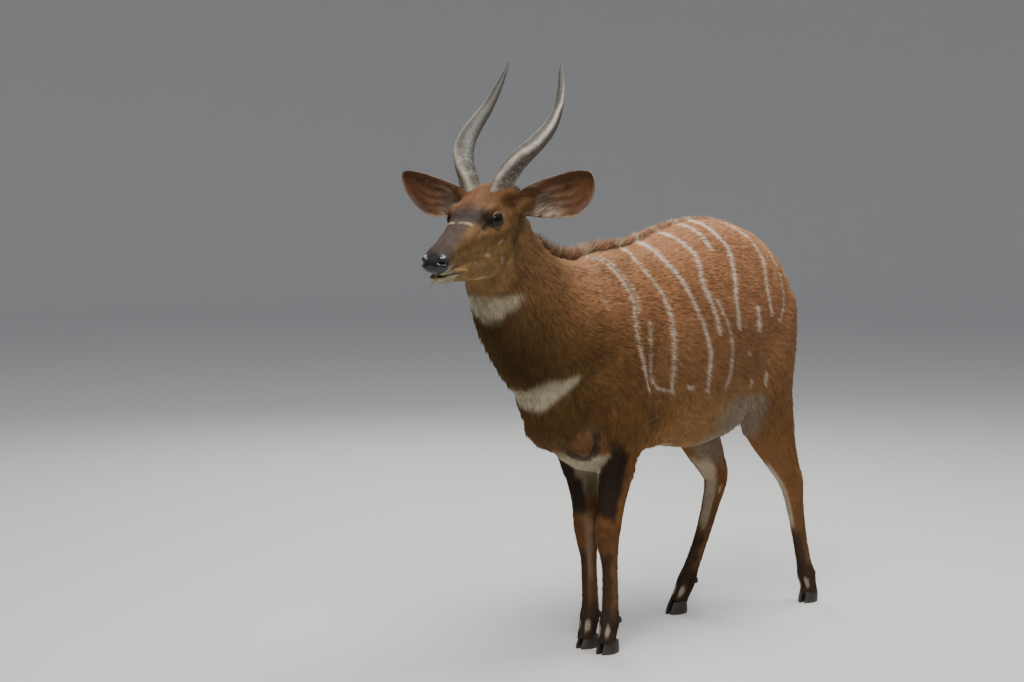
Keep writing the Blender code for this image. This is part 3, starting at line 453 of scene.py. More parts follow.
legStrokes = {
    # from the leg's own middle: aside, along, height, in parts of its half width and half depth
    "fore": ((((1.0, 0.30, 0.27), (1.0, 0.30, 0.14)), 0.0068, -0.0042),
             (((0.45, -0.95, 0.355),), 0.013, 0.0034),
             (((0.50, -0.90, 0.322),), 0.011, 0.0026), (((0.0, -1.0, 0.338),), 0.007, -0.0016),
             (((0.0, 1.0, 0.362), (0.0, 1.0, 0.330)), 0.010, 0.0058), (((0.0, 1.05, 0.105),), 0.011, 0.0040),
             (((1.0, -0.2, 0.47), (1.0, -0.1, 0.40)), 0.012, -0.0040), (((0.0, -1.0, 0.072),), 0.007, -0.0026),
             (((1.0, -0.10, 0.345),), 0.012, 0.0022), (((0.9, 0.6, 0.29), (0.9, 0.6, 0.13)), 0.0050, 0.0018),
             (((1.0, 0.0, 0.100),), 0.010, 0.0018), (((0.0, 1.0, 0.285),), 0.014, -0.0030)),
    "hind": ((((1.0, 0.30, 0.29), (1.0, 0.30, 0.15)), 0.0068, -0.0042),
             (((0.0, 1.05, 0.410), (0.0, 1.05, 0.375)), 0.012, 0.0075),
             (((1.0, 0.40, 0.520), (1.0, 0.50, 0.430)), 0.013, -0.0095), (((0.0, 1.05, 0.105),), 0.011, 0.0040),
             (((1.0, -0.30, 0.380),), 0.013, 0.0032), (((0.0, -1.0, 0.072),), 0.007, -0.0026),
             (((0.0, -1.0, 0.345),), 0.014, 0.0020), (((1.0, -0.6, 0.60), (1.0, -0.6, 0.46)), 0.018, 0.0030),
             (((1.0, 0.0, 0.100),), 0.010, 0.0018), (((0.0, 0.9, 0.500), (0.0, 1.0, 0.440)), 0.012, 0.0030)),
}


legs = ((3, "foreLeft", 1), (4, "foreRight", -1), (5, "hindLeft", 1), (6, "hindRight", -1))


def legAt(name, z):
    # middle and half sizes of a leg at given heights
    rows = curveThrough(body[name], 120)[::-1]
    return [np.interp(z, rows[:, 2], rows[:, j]) for j in (0, 1, 3, 4)]


def pressStrokes(q, n, strokes, seen, facing=None):
    # each stroke moves the skin along its normal by depth * exp(-(distance / reach)^2); with facing, the
    # distance runs along the skin
    move = np.zeros(len(q))
    for line, reach, depth in strokes:
        line = np.atleast_2d(line)
        if len(line) == 1:
            d = np.linalg.norm(q - line[0], axis=1)
        else:
            d = nearLine(q, line, facing)[0]
        move += depth * np.exp(-(d / reach) ** 2) * seen
    return n * move[:, None]


def partsOf(p):
    # 0 head, 1 neck, 2 trunk, 3 and 4 forelegs, 5 and 6 hind legs (left first), 7 tail
    kind = np.full(len(p), 2)
    kind[(p[:, 2] < 0.50) & (p[:, 1] < 0.25) & (p[:, 0] > 0)] = 3
    kind[(p[:, 2] < 0.50) & (p[:, 1] < 0.25) & (p[:, 0] <= 0)] = 4
    kind[(p[:, 2] < 0.56) & (p[:, 1] > 0.34) & (p[:, 0] > 0)] = 5
    kind[(p[:, 2] < 0.56) & (p[:, 1] > 0.34) & (p[:, 0] <= 0)] = 6
    kind[(p - neckBase["at"]) @ neckBase["way"] > 0] = 1
    kind[(p - neckTop["at"]) @ neckTop["way"] > 0] = 0
    d, t = nearLine(p, np.array(body["tail"])[:, :3])
    kind[(d < 0.030) & (t > 0.12) & (kind != 5) & (kind != 6)] = 7
    return kind


def coatDepthAt(p):
    depth = body["coatDepth"]
    onHead = step(-0.05, 0.02, (p - neckTop["at"]) @ neckTop["way"])
    onNeck = step(-0.10, 0.04, (p - neckBase["at"]) @ neckBase["way"]) * (1 - onHead)
    onLegs = 1.0 - step(0.40, 0.62, p[:, 2])
    d = depth["torso"] + (depth["neck"] - depth["torso"]) * onNeck
    d = d + (depth["legs"] - d) * onLegs
    return d + (depth["head"] - d) * onHead


lids = {"halfLength": 0.0205, "upper": 0.0142, "lower": 0.0116, "edge": 0.0016, "reach": 0.0300}


def eyeAxes(side):
    # the way the eye looks, its long axis towards the nose, and its upward axis
    out = unit(np.asarray(skull["eyeFacing"]) * [1, side, 1] @ headAxes)
    level = np.array([0.92, -side * 0.34, -0.16]) @ headAxes
    level = unit(level - out * (level @ out))
    rise = np.cross(out, level) * side
    return out, level, rise if rise[2] > 0 else -rise


def lidShape(u, v):
    # 0 at the middle of the opening, 1 on its edge: an almond, fuller above than below
    tall = np.where(v > 0, lids["upper"], lids["lower"])
    slant = v - 0.10 * u
    return (np.abs(u) / lids["halfLength"]) ** 2.1 + np.abs(slant / tall) ** 1.9


def shapeLids(p, side):
    # the skin round the eye follows the ball a little above it, and drops behind it in the opening
    centre = inHead(skull["eye"], side)
    out, level, rise = eyeAxes(side)
    q = p - centre
    r = np.linalg.norm(q, axis=1)
    near = (r < lids["reach"] * 1.5) & (q @ out > -0.002)
    s = q[near]
    u, v = s @ level, s @ rise
    a = np.sqrt(lidShape(u, v))
    ball = skull["eyeRadius"]
    inside = ball * 0.86
    rim = ball + lids["edge"]
    # past the rim the lid swells, creases, then joins the face
    swell = (rim + 0.0016 * np.exp(-((a - 1.28) / 0.16) ** 2) - 0.0014 * np.exp(-((a - 1.62) / 0.14) ** 2)
             * (v > -0.004))
    held = step(2.5, 1.25, a)
    target = r[near] + (swell - r[near]) * held
    target = np.where(a < 0.97, inside + (rim - inside) * step(0.90, 0.97, a), target)
    moved = p.copy()
    moved[near] = centre + s / r[near][:, None] * target[:, None]
    return moved


def refineFace(skin):
    # smaller faces round the eyes and over the muzzle
    shape = bmesh.new()
    shape.from_mesh(skin.data)
    shape.verts.ensure_lookup_table()
    p = pointsOf(skin.data)
    q = headPlace(p)[0]
    wanted = (q[:, 0] > 0.325) | (np.linalg.norm(q - np.array(skull["eye"]), axis=1) < 0.040)
    wanted &= (p - neckTop["at"]) @ neckTop["way"] > 0
    edges = [e for e in shape.edges if wanted[e.verts[0].index] and wanted[e.verts[1].index]]
    bmesh.ops.subdivide_edges(shape, edges=edges, cuts=1, use_grid_fill=False)
    bmesh.ops.triangulate(shape, faces=shape.faces)
    shape.to_mesh(skin.data)
    shape.free()


def evenOut(p, f, where, times):
    # each chosen corner moves half way to the middle of its neighbours
    a = np.concatenate([f[:, 0], f[:, 1], f[:, 2], f[:, 1], f[:, 2], f[:, 0]])
    b = np.concatenate([f[:, 1], f[:, 2], f[:, 0], f[:, 0], f[:, 1], f[:, 2]])
    m = where[a] > 0
    a, b = a[m], b[m]
    count = np.maximum(np.bincount(a, minlength=len(p)), 1)
    for _ in range(times):
        mean = np.stack([np.bincount(a, p[b, j], len(p)) / count for j in range(3)], 1)
        p = np.where((where > 0)[:, None], p + (mean - p) * (0.5 * where)[:, None], p)
    return p


def carveSkin(skin):
    p = pointsOf(skin.data)
    f = trianglesOf(skin.data)
    n = pointNormals(p, f)
    onHead = step(-0.01, 0.02, (p - neckTop["at"]) @ neckTop["way"])
    trunk = (1 - onHead) * step(0.40, 0.60, p[:, 2])
    before = mirrored(p)
    p = p + pressStrokes(before, n, bodyStrokes, trunk)
    before[:, 0] = np.abs(p[:, 0])
    p = p + pressStrokes(before, n, creases, trunk, mirroredWays(p, n))
    kind = partsOf(p)
    for part, name, side in legs:
        mine = kind == part
        z = p[mine, 2]
        x, y = legAt(name, z)[:2]
        local = np.stack([(p[mine, 0] - x), (p[mine, 1] - y), z], 1)
        for line, reach, depth in legStrokes[name[:4]]:
            line = np.atleast_2d(np.array(line))
            lw, ld = legAt(name, line[:, 2])[2:]
            for flip in ((1, -1) if abs(line[0, 0]) > 0.5 else (1,)):
                real = np.stack([line[:, 0] * lw * flip, line[:, 1] * ld, line[:, 2]], 1)
                p[mine] += pressStrokes(local, n[mine], [(real, reach, depth)], 1.0)
    # the head rides on its own axes, both halves alike
    q, _ = headPlace(p)
    p = p + pressStrokes(q, n, headStrokes, onHead)
    n = pointNormals(p, f)
    p = p - n * coatDepthAt(p)[:, None]
    q, _ = headPlace(p)
    muzzle = onHead * step(0.30, 0.33, q[:, 0])
    n = pointNormals(p, f)
    p = p + pressStrokes(q, n, muzzleStrokes, muzzle)
    # the mouth: a crease that fades at its corner, and lips that roll into it
    line = np.array(skull["mouth"])
    d, t = nearLine(q, line)
    fade = step(1.0, 0.86, t) * onHead * (q[:, 0] > 0.27)
    p = p + n * ((0.0012 * np.exp(-((d - 0.0055) / 0.0030) ** 2) - 0.0062 * np.exp(-(d / 0.0018) ** 2))
                 * fade)[:, None]
    face = onHead * ((q[:, 0] > 0.33) | (np.linalg.norm(q - np.array(skull["eye"]), axis=1) < 0.038))
    for side in (1, -1):
        p = shapeLids(p, side)
    p = evenOut(p, f, face * 0.6, 1)
    near = np.zeros(len(p))
    for side in (1, -1):
        near = np.maximum(near, step(0.062, 0.030,
                                     np.linalg.norm(p - inHead((0.034, 0.060, 0.018), side), axis=1)))
        near = np.maximum(near, 0.6 * step(0.036, 0.018,
                                           np.linalg.norm(p - inHead((0.150, 0.050, 0.064), side), axis=1)))
        near = np.maximum(near, step(0.050, 0.034,
                                     np.linalg.norm(p - inHead((0.060, 0.048, 0.074), side), axis=1)))
    p = evenOut(p, f, near * onHead, 22)
    skin.data.vertices.foreach_set("co", p.ravel())
    skin.data.update()
    return p, f


# The markings, one for skin and coat, with some painted light and shade among them
tones = {
    "chestnut": (0.280, 0.132, 0.060), "rump": (0.335, 0.162, 0.080), "neck": (0.098, 0.054, 0.019),
    "nape": (0.230, 0.115, 0.058), "belly": (0.180, 0.092, 0.031), "thighBack": (0.185, 0.084, 0.021),
    "white": (0.400, 0.350, 0.235), "cream": (0.470, 0.385, 0.270), "grey": (0.230, 0.180, 0.130),
    "black": (0.016, 0.012, 0.010), "cannon": (0.140, 0.072, 0.030), "knee": (0.120, 0.052, 0.020),
    "forearm": (0.215, 0.092, 0.032), "dark": (0.036, 0.023, 0.015), "face": (0.195, 0.105, 0.044),
    "brow": (0.122, 0.055, 0.022), "bridge": (0.048, 0.033, 0.024), "mask": (0.020, 0.015, 0.013),
    "cheek": (0.270, 0.165, 0.062), "rim": (0.008, 0.006, 0.006), "nosePad": (0.008, 0.008, 0.009),
    "throatDark": (0.048, 0.027, 0.008), "chest": (0.070, 0.038, 0.010), "shoulder": (0.120, 0.058, 0.017),
}
# thin white lines down the flank: places on the left side, half width, strength
stripes = (
    (((0.102, -0.184, 1.011), (0.117, -0.183, 0.980), (0.128, -0.175, 0.949)), 0.0022, 0.35),
    (((0.030, -0.135, 1.088), (0.083, -0.107, 1.055), (0.127, -0.077, 0.992), (0.144, -0.078, 0.939),
      (0.163, -0.084, 0.866), (0.170, -0.066, 0.790), (0.162, -0.037, 0.728)), 0.0042, 0.85),
    (((0.040, -0.110, 1.088), (0.099, -0.080, 1.042), (0.131, -0.055, 0.991), (0.147, -0.059, 0.938)), 0.0028,
     0.70),
    (((0.156, -0.025, 0.915), (0.163, -0.031, 0.862), (0.168, -0.036, 0.787), (0.166, -0.001, 0.736),
      (0.169, 0.056, 0.718)), 0.0040, 0.60),
    (((0.008, 0.031, 1.110), (0.094, 0.012, 1.062), (0.138, 0.045, 1.003), (0.162, 0.062, 0.938),
      (0.175, 0.069, 0.862), (0.175, 0.065, 0.780), (0.170, 0.064, 0.720)), 0.0042, 0.90),
    (((0.005, 0.105, 1.130), (0.095, 0.103, 1.084), (0.150, 0.130, 1.019), (0.177, 0.155, 0.953),
      (0.192, 0.188, 0.880), (0.194, 0.209, 0.818), (0.189, 0.212, 0.759), (0.178, 0.215, 0.705)), 0.0056,
      0.92),
    (((0.010, 0.190, 1.150), (0.090, 0.206, 1.122), (0.139, 0.218, 1.073), (0.172, 0.205, 1.003),
      (0.190, 0.228, 0.939), (0.199, 0.250, 0.866)), 0.0054, 1.00),
    (((0.188, 0.246, 0.960), (0.199, 0.280, 0.900), (0.202, 0.305, 0.837), (0.197, 0.310, 0.763),
      (0.185, 0.298, 0.707)), 0.0044, 0.75),
    (((0.010, 0.288, 1.172), (0.084, 0.297, 1.145), (0.136, 0.295, 1.096)), 0.0050, 0.95),
    (((0.015, 0.356, 1.178), (0.105, 0.360, 1.136), (0.142, 0.372, 1.094), (0.177, 0.351, 1.022),
      (0.195, 0.335, 0.950), (0.202, 0.341, 0.877)), 0.0085, 1.05),
    (((0.020, 0.470, 1.174), (0.112, 0.509, 1.121), (0.155, 0.524, 1.058), (0.181, 0.511, 0.984),
      (0.191, 0.524, 0.903)), 0.0052, 1.00),
    (((0.100, 0.590, 1.110), (0.132, 0.608, 1.069), (0.157, 0.624, 1.011), (0.172, 0.622, 0.947),
      (0.187, 0.573, 0.883)), 0.0040, 0.85),
    (((0.196, 0.447, 0.928), (0.200, 0.442, 0.865)), 0.0085, 0.95),
    (((0.200, 0.391, 0.806), (0.198, 0.396, 0.795)), 0.0050, 0.45),
    (((0.165, 0.000, 0.730), (0.172, 0.075, 0.715)), 0.0056, 0.60),
    (((0.174, 0.130, 0.724), (0.176, 0.152, 0.722)), 0.0060, 0.60),
    (((0.179, 0.214, 0.711), (0.178, 0.222, 0.706)), 0.0050, 0.50),
    (((0.186, 0.424, 0.723), (0.184, 0.430, 0.700)), 0.0042, 0.60),
    (((0.182, 0.514, 0.735), (0.181, 0.514, 0.700)), 0.0042, 0.75),
)
faceMarks = (
    (((0.243, 0.011, 0.045), (0.236, 0.022, 0.042), (0.229, 0.032, 0.035)), 0.0030, "white", 0.72),
    (((0.140, 0.064, -0.031), (0.147, 0.062, -0.034), (0.153, 0.060, -0.037)), 0.0026, "white", 0.90),
    (((0.198, 0.043, -0.051), (0.188, 0.045, -0.054)), 0.0046, "cream", 0.80),
    (((0.148, 0.060, -0.074), (0.142, 0.057, -0.088)), 0.0028, "cream", 0.80),
)


def mixIn(colour, tone, amount):
    tone = np.asarray(tones[tone] if isinstance(tone, str) else tone)
    return colour + (tone - colour) * np.clip(amount, 0, 1)[:, None]


def paintLegs(c, p, mid, fine, onHead):
    # legs: black down the front of the forearm, brown knees, a dark line on the cannons, dark feet
    x, y, z = p.T
    kind = partsOf(p)
    for part, name, side in legs:
        hind = part > 4
        mine = (((y > 0.34) if hind else (y < 0.25)) & (z < (0.74 if hind else 0.68)) & (x * side > -0.02)
                & (kind != 7)
                & (onHead < 0.5))
        if not mine.any():
            continue
        zz = z[mine]
        lx, ly, lw, ld = legAt(name, zz)
        u = (x[mine] - lx) / lw * side
        v = (y[mine] - ly) / ld
        g = c[mine]
        m, fn = mid[mine], fine[mine]
        front = step(-0.30, -0.75, v + 0.4 * m)
        if hind:
            g = mixIn(g, "forearm", step(0.60, 0.50, zz) * 0.7)
            g = mixIn(g, "grey", step(-0.10, -0.60, u + 0.3 * m) * step(0.60, 0.54, zz + 0.03 * m)
                      * step(0.40, 0.46, zz) * 0.75)
            g = mixIn(g, "cannon", step(0.34, 0.26, zz) * 0.75)
            strip = (step(-0.42, -0.78, v + 0.3 * m) * step(0.40, 0.0, u) * step(0.47, 0.43, zz + 0.02 * m)
                     * step(0.225, 0.27, zz + 0.02 * m))
            strip = np.maximum(strip, step(0.014, 0.007, np.abs(zz - 0.352)) * step(-0.70, -0.90, u)
                               * step(0.25, 0.0, np.abs(v + 0.2)))
            g = mixIn(g, "cream", strip * 0.9)
            g = mixIn(g, "dark", front * step(0.25, 0.20, zz) * 0.8)
            g = mixIn(g, "dark", step(0.20, 0.80, v + 0.3 * m) * step(0.40, 0.36, zz) * 0.35)
        else:
            g = mixIn(g, "forearm", step(0.62, 0.52, zz) * 0.75)
            # white above, black below: their border drops from outside to inside
            border = 0.500 + 0.055 * np.clip(u + 0.5, 0, 1.2)
            frontal = step(0.05, -0.50, v + 0.30 * m)
            white = (frontal * step(-0.008, 0.008, zz - border + 0.016 * m)
                     * step(0.565, 0.548, zz + 0.010 * m) * step(0.62, 0.40, u))
            white = np.maximum(white, step(-0.55, -0.85, u + 0.25 * m) * step(0.40, 0.47, zz + 0.02 * m)
                               * step(0.58, 0.54, zz) * 0.8)
            black = (frontal * step(0.010, -0.008, zz - border + 0.016 * m)
                     * step(0.362, 0.400, zz + 0.02 * m + 0.02 * np.abs(u)))
            black = np.maximum(black, step(-0.30, -0.70, v + 0.3 * m) * step(0.30, 0.55, u)
                               * step(0.63, 0.56, zz + 0.03 * m) * step(0.45, 0.50, zz))
            g = mixIn(g, "black", black * step(-0.95, -0.60, u) * 0.92)
            g = mixIn(g, "white", white * 0.85)
            g = mixIn(g, "knee", step(0.370, 0.350, zz) * step(0.27, 0.30, zz) * (0.35 + 0.5 * front))
            g = mixIn(g, "cannon", step(0.30, 0.27, zz) * 0.75)
            g = mixIn(g, "cream", step(-0.40, -0.75, u + 0.2 * m) * step(0.0, -0.5, v) * step(0.40, 0.35, zz)
                      * step(0.17, 0.24, zz) * 0.28)
            g = mixIn(g, "dark", front * step(-0.65, -0.25, u) * step(0.30, 0.26, zz) * 0.85)
            g = mixIn(g, "dark", step(0.45, 0.90, v + 0.3 * m) * step(0.28, 0.24, zz) * 0.5)
        g = mixIn(g, "dark", step(0.145, 0.105, zz + 0.02 * m) * 0.88)
        reach = np.hypot((zz - 0.064) * 0.34, np.minimum(np.abs(u - 0.50), np.abs(u + 0.50)) * 0.028)
        g = mixIn(g, "cream", step(0.0078, 0.0036, reach + 0.005 * fn + 0.003 * m) * step(-0.1, -0.5, v) * 0.75)
        c[mine] = g


def paintFace(p, hp, mid, fine):
    # the face's colour, its own and some painted light and shade, and how far a place belongs to the nose pad and to
    # the lids
    h = np.tile(np.asarray(tones["face"]), (len(p), 1))
    a, b, d = hp.T
    h = mixIn(h, "brow", step(0.20, 0.17, a + 0.02 * mid) * step(0.030, 0.055, d) * 0.9)
    # the lower face lighter: partly its own paler tone, partly painted light where the lamps leave it in shade
    h = mixIn(h, "cheek", step(0.0, -0.05, d) * 0.8)
    h = mixIn(h, "neck", step(0.125, 0.02, a + 0.04 * mid) * step(0.05, -0.03, d) * 0.85)
    # painted shade where the back of the jaw meets the throat
    h = mixIn(h, "throatDark", step(0.115, 0.075,
                                    np.linalg.norm((hp - [0.095, 0.060, -0.085]) * [1.0, 0.5, 1.1], axis=1)
                                    + 0.04)
              * step(0.10, 0.085, a + 0.02 * mid) * 0.30)
    h = mixIn(h, "bridge", step(0.19, 0.225, a) * step(0.040, 0.022, b + 0.012 * mid)
              * step(-0.004, 0.014, d + 0.16 * (a - 0.32)) * 0.95)
    h = mixIn(h, "bridge", step(0.33, 0.36, a) * step(-0.018, 0.0, d) * 0.85)
    h = mixIn(h, "mask", step(0.146, 0.196, a + 0.024 * mid) * step(0.240, 0.215, a + 0.3 * b)
              * step(0.020, 0.036, d) * 0.90)
    mottle = lattice(hp, 0.012, 41) - 0.5
    h = h * (1.0 + 0.45 * mottle)[:, None]
    for line, half, tone, strength in faceMarks:
        h = mixIn(h, tone, step(half + 0.0036, half - 0.0016, nearLine(hp, line)[0] + 0.0060 * fine) * strength)
    h = mixIn(h, "cream", step(0.020, 0.008, np.linalg.norm((hp - [0.205, 0.018, -0.118]) * [0.5, 0.9, 1.0],
                                                            axis=1)) * 0.75)
    lipUp = (step(0.352, 0.362, a) * step(-0.046, -0.041, d) * step(-0.016, -0.022, d + 0.004 * mid)
             * step(0.010, 0.016, b))
    h = mixIn(h, "white", lipUp * 0.95)
    chin = step(0.325, 0.345, a + 0.008 * mid) * step(-0.043, -0.048, d)
    h = mixIn(h, "white", chin * 0.9)
    pad = step(1.12, 0.98, np.linalg.norm((hp - [0.392, 0.0, -0.008]) / [0.028, 0.040, 0.026], axis=1)
               + 0.10 * mid)
    pad = np.maximum(pad, step(0.014, 0.008, nearLine(hp, ((0.400, 0.0, -0.02), (0.398, 0.0, -0.038)))[0]))
    h = mixIn(h, "nosePad", pad)
    dMouth, along = nearLine(hp, np.array(skull["mouth"]))
    h = mixIn(h, "rim", step(0.0042, 0.0022, dMouth) * step(1.0, 0.9, along) * (a > 0.27) * 0.95)
    eyeSeat = hp - np.asarray(skull["eye"])
    rim, shade = np.zeros(len(p)), np.zeros(len(p))
    for side in (1, -1):
        out, level, rise = eyeAxes(side)
        q = p - inHead(skull["eye"], side)
        u, v = q @ level, q @ rise
        ring = np.sqrt(lidShape(u, v))
        rim = np.maximum(rim, step(1.42, 1.22, ring + 0.08 * mid) * (q @ out > 0))
        shade = np.maximum(shade, step(2.2, 1.3, ring + 0.2 * mid) * (q @ out > 0)
                           * (0.35 + 0.65 * step(-0.004, 0.006, v)))
    h = mixIn(h, "mask", shade * 0.72)
    h = mixIn(h, "rim", rim)
    duct = nearLine(hp, ((0.165, 0.063, 0.0245), (0.180, 0.055, 0.0230), (0.200, 0.047, 0.0180)))[0]
    h = mixIn(h, "mask", step(0.0100, 0.0030, duct + 0.003 * mid) * 0.85)
    h = mixIn(h, "brow", step(0.0100, 0.0060, np.abs(np.linalg.norm(eyeSeat * [0.8, 0.5, 1.0], axis=1)
                                                     - 0.026)) * (d > 0.035) * (a < 0.185) * 0.5)
    return h, pad, rim


def paint(p, n):
    # the coat's colour at places on the body, with some painted light and shade, laid on in layers; ragged edges come
    # from lattice noise
    fine = lattice(p, 0.006, 3) - 0.5
    mid = lattice(p, 0.022, 5) - 0.5
    broad = lattice(p, 0.110, 9) - 0.5
    x, y, z = p.T
    ax = np.abs(x)
    hp, _ = headPlace(p)
    onHead = step(-0.030, 0.030, (p - neckTop["at"]) @ neckTop["way"] + 0.020 * mid)
    onNeck = step(-0.09, 0.07, (p - neckBase["at"]) @ neckBase["way"] + 0.04 * mid) * (1 - onHead)
    c = np.tile(np.asarray(tones["chestnut"]), (len(p), 1))
    # the top of the rump lighter, the belly and the back of the thigh darker: partly the coat's own tone, partly
    # painted light from above and painted shade low down
    c = mixIn(c, "rump", step(0.15, 0.60, y) * step(0.86, 1.02, z) * 0.8)
    c = mixIn(c, "nape", step(0.94, 1.06, z) * step(0.06, -0.16, y) * 0.7)
    c = mixIn(c, "belly", step(0.92, 0.62, z) * 0.85)
    c = mixIn(c, "thighBack", step(0.62, 0.76, y + 0.04 * mid) * step(1.02, 0.80, z) * step(0.42, 0.60, z)
              * 0.8)
    c = mixIn(c, "neck", onNeck * (0.85 - 0.35 * step(0.02, 0.09, ax) * step(0.95, 1.10, z)))
    c = mixIn(c, "nape", onNeck * step(0.35, 0.75, n[:, 1]) * 0.6)
    c = mixIn(c, "shoulder", step(0.08, -0.08, y + 0.06 * mid) * step(1.02, 0.84, z) * (1 - onNeck) * 0.75)
    # painted light: a lighter, warmer patch on the lower flank
    c = mixIn(c, (0.300, 0.160, 0.052), step(0.05, 0.12, y) * step(0.46, 0.38, y) * step(0.76, 0.64, z) * 0.6)
    c = mixIn(c, "chest", step(-0.16, -0.25, y + 0.03 * mid) * step(0.95, 0.80, z) * 0.70)
    c = mixIn(c, "throatDark", onNeck * step(0.40, -0.50, n[:, 1]) * step(0.085, 0.010, ax) * 0.75)
    # painted shadow: a dark band across the throat just under the jaw
    c = mixIn(c, "throatDark", step(0.030, 0.008,
                                    nearLine(p, ((-0.03, -0.46, 1.035), (0.06, -0.44, 1.035)))[0]) * 0.6)
    c = mixIn(c, "throatDark", step(-0.14, -0.26, y) * step(0.70, 0.58, z) * 0.35)
    # the dark line along the back, flecked where the white lines meet it
    ridge = (step(0.017, 0.008, ax + 0.006 * fine) * step(1.02, 1.07, z) * step(-0.31, -0.24, y)
             * step(0.63, 0.52, y))
    c = mixIn(c, "dark", ridge * 0.88)
    twin, facing = mirrored(p), mirroredWays(p, n)
    trunk = (1 - onHead) * step(0.62, 0.68, z)
    lines = np.zeros(len(p))
    for rows, half, strength in stripes:
        line = curveThrough(np.array(rows), 4 * len(rows))
        near = ((trunk > 0) & (y > line[:, 1].min() - 0.03) & (y < line[:, 1].max() + 0.03)
                & (z > line[:, 2].min() - 0.03))
        if near.any():
            d = nearLine(twin[near], line, facing[near])[0]
            w = half * (0.74 + 0.30 * mid[near])
            found = 1.08 * strength * step(w + 0.0018, w - 0.0008, d + 0.0016 * fine[near]) * trunk[near]
            lines[near] = np.maximum(lines[near], found)
    c = mixIn(c, (0.640, 0.540, 0.420), lines)
    paintLegs(c, p, mid, fine, onHead)
    # grey hair inside the flank and thigh, white between the forelegs
    c = mixIn(c, "grey", step(0.30, 0.37, y + 0.03 * mid) * step(0.56, 0.50, y)
              * step(0.70, 0.655, z + 0.02 * mid)
              * step(0.50, 0.56, z) * step(0.195, 0.165, ax) * 0.85 * (1 - onHead))
    band = (step(0.556, 0.540, z + 0.012 * mid) * step(0.470, 0.490, z) * step(-0.06, -0.09, y)
            * step(0.055, 0.035, ax))
    c = mixIn(c, "white", band * step(0.25, -0.15, n[:, 1]) * 0.75)
    fold, foldAt = nearLine(twin, foldLine, facing)
    elbow, elbowAt = nearLine(twin, elbowLine, facing)
    # painted light: the brisket's bulge lighter where it catches the light
    litLobe = np.linalg.norm((twin - [0.076, -0.215, 0.612]) * [1.0, 0.8, 1.0], axis=1)
    c = mixIn(c, "chestnut", step(0.040, 0.022, litLobe + 0.006 * mid) * 0.55 * (1 - onHead))
    # painted shadow in the crease round the brisket's fold, fading at its ends
    foldEnds = step(0.02, 0.22, foldAt) * step(1.00, 0.76, foldAt)
    c = mixIn(c, "dark", step(0.0165, 0.0060, fold + 0.006 * mid + 0.004 * fine) * foldEnds * 0.90
              * (1 - onHead))
    # painted shadow along the crease behind the elbow
    c = mixIn(c, "dark", step(0.0190, 0.0020, elbow + 0.006 * mid) * step(0.10, 0.65, elbowAt) * 0.45
              * (1 - onHead))
    # white crescents on chest and throat
    low = 0.690 + 0.076 * (ax / 0.104) ** 2.2
    top = 0.747 + 0.038 * (ax / 0.108) ** 1.6
    crescent = (step(-0.006, 0.006, z - low + 0.014 * mid) * step(0.006, -0.006, z - top + 0.012 * mid)
                * step(0.118, 0.104, ax))
    c = mixIn(c, "white", crescent * step(-0.20, -0.25, y) * (1 - onHead) * 0.95)
    across = np.abs(x - 0.012)
    low = 0.932 + 0.064 * (across / 0.070) ** 2.2
    top = 0.996 + 0.004 * (across / 0.060)
    throat = (step(-0.006, 0.008, z - low + 0.012 * mid) * step(0.010, -0.008, z - top + 0.012 * mid)
              * step(0.080, 0.064, across))
    c = mixIn(c, "white", throat * step(-0.44, -0.475, y) * 0.95)
    h, pad, rim = paintFace(p, hp, mid, fine)
    c = c + (h - c) * onHead[:, None]
    c = c * (1.0 + 0.26 * broad + 0.22 * mid * (1 - 0.6 * onHead) + 0.12 * fine)[:, None]
    wet = np.maximum(pad, rim * 0.6) * onHead
    return np.clip(c, 0.002, 0.95), wet


def pointColour(item, name, colour):
    # colour kept on the corners of the mesh, read by the materials
    layer = item.data.color_attributes.new(name, "FLOAT_COLOR", "POINT")
    data = np.ones((len(colour), 4), np.float32)
    data[:, :3] = colour
    layer.data.foreach_set("color", data.ravel())


# Materials, built from shared node groups
def groupOf(name, sockets):
    tree = bpy.data.node_groups.new(name, "ShaderNodeTree")
    for label, way, kind, value in sockets:
        s = tree.interface.new_socket(name=label, in_out=way, socket_type="NodeSocket" + kind)
        if value is not None:
            s.default_value = value
    return tree, tree.nodes.new("NodeGroupInput"), tree.nodes.new("NodeGroupOutput")


def toneGroup():
    # colour broken up by two sizes of noise, and the noise as a height for bump
    tree, enter, leave = groupOf("toneBreak", (("Colour", "INPUT", "Color", (0.5, 0.5, 0.5, 1)),
                                               ("Size", "INPUT", "Float", 200.0),
                                               ("Amount", "INPUT", "Float", 0.3),
                                               ("Colour", "OUTPUT", "Color", None),
                                               ("Height", "OUTPUT", "Float", None)))
    make, link = tree.nodes.new, tree.links.new
    place = make("ShaderNodeTexCoord")
    noise = make("ShaderNodeTexNoise")
    noise.inputs["Detail"].default_value = 4.0
    noise.inputs["Roughness"].default_value = 0.62
    link(place.outputs["Object"], noise.inputs["Vector"])
    link(enter.outputs["Size"], noise.inputs["Scale"])
    ramp = make("ShaderNodeMapRange")
    ramp.inputs["From Min"].default_value = 0.3
    ramp.inputs["From Max"].default_value = 0.7
    link(noise.outputs["Fac"], ramp.inputs["Value"])
    for operation, target in (("SUBTRACT", "To Min"), ("ADD", "To Max")):
        end = make("ShaderNodeMath")
        end.operation = operation
        end.inputs[0].default_value = 1.0
        link(enter.outputs["Amount"], end.inputs[1])
        link(end.outputs[0], ramp.inputs[target])
    scale = make("ShaderNodeVectorMath")
    scale.operation = "SCALE"
    link(enter.outputs["Colour"], scale.inputs[0])
    link(ramp.outputs["Result"], scale.inputs["Scale"])
    link(scale.outputs["Vector"], leave.inputs["Colour"])
    link(noise.outputs["Fac"], leave.inputs["Height"])
    return tree


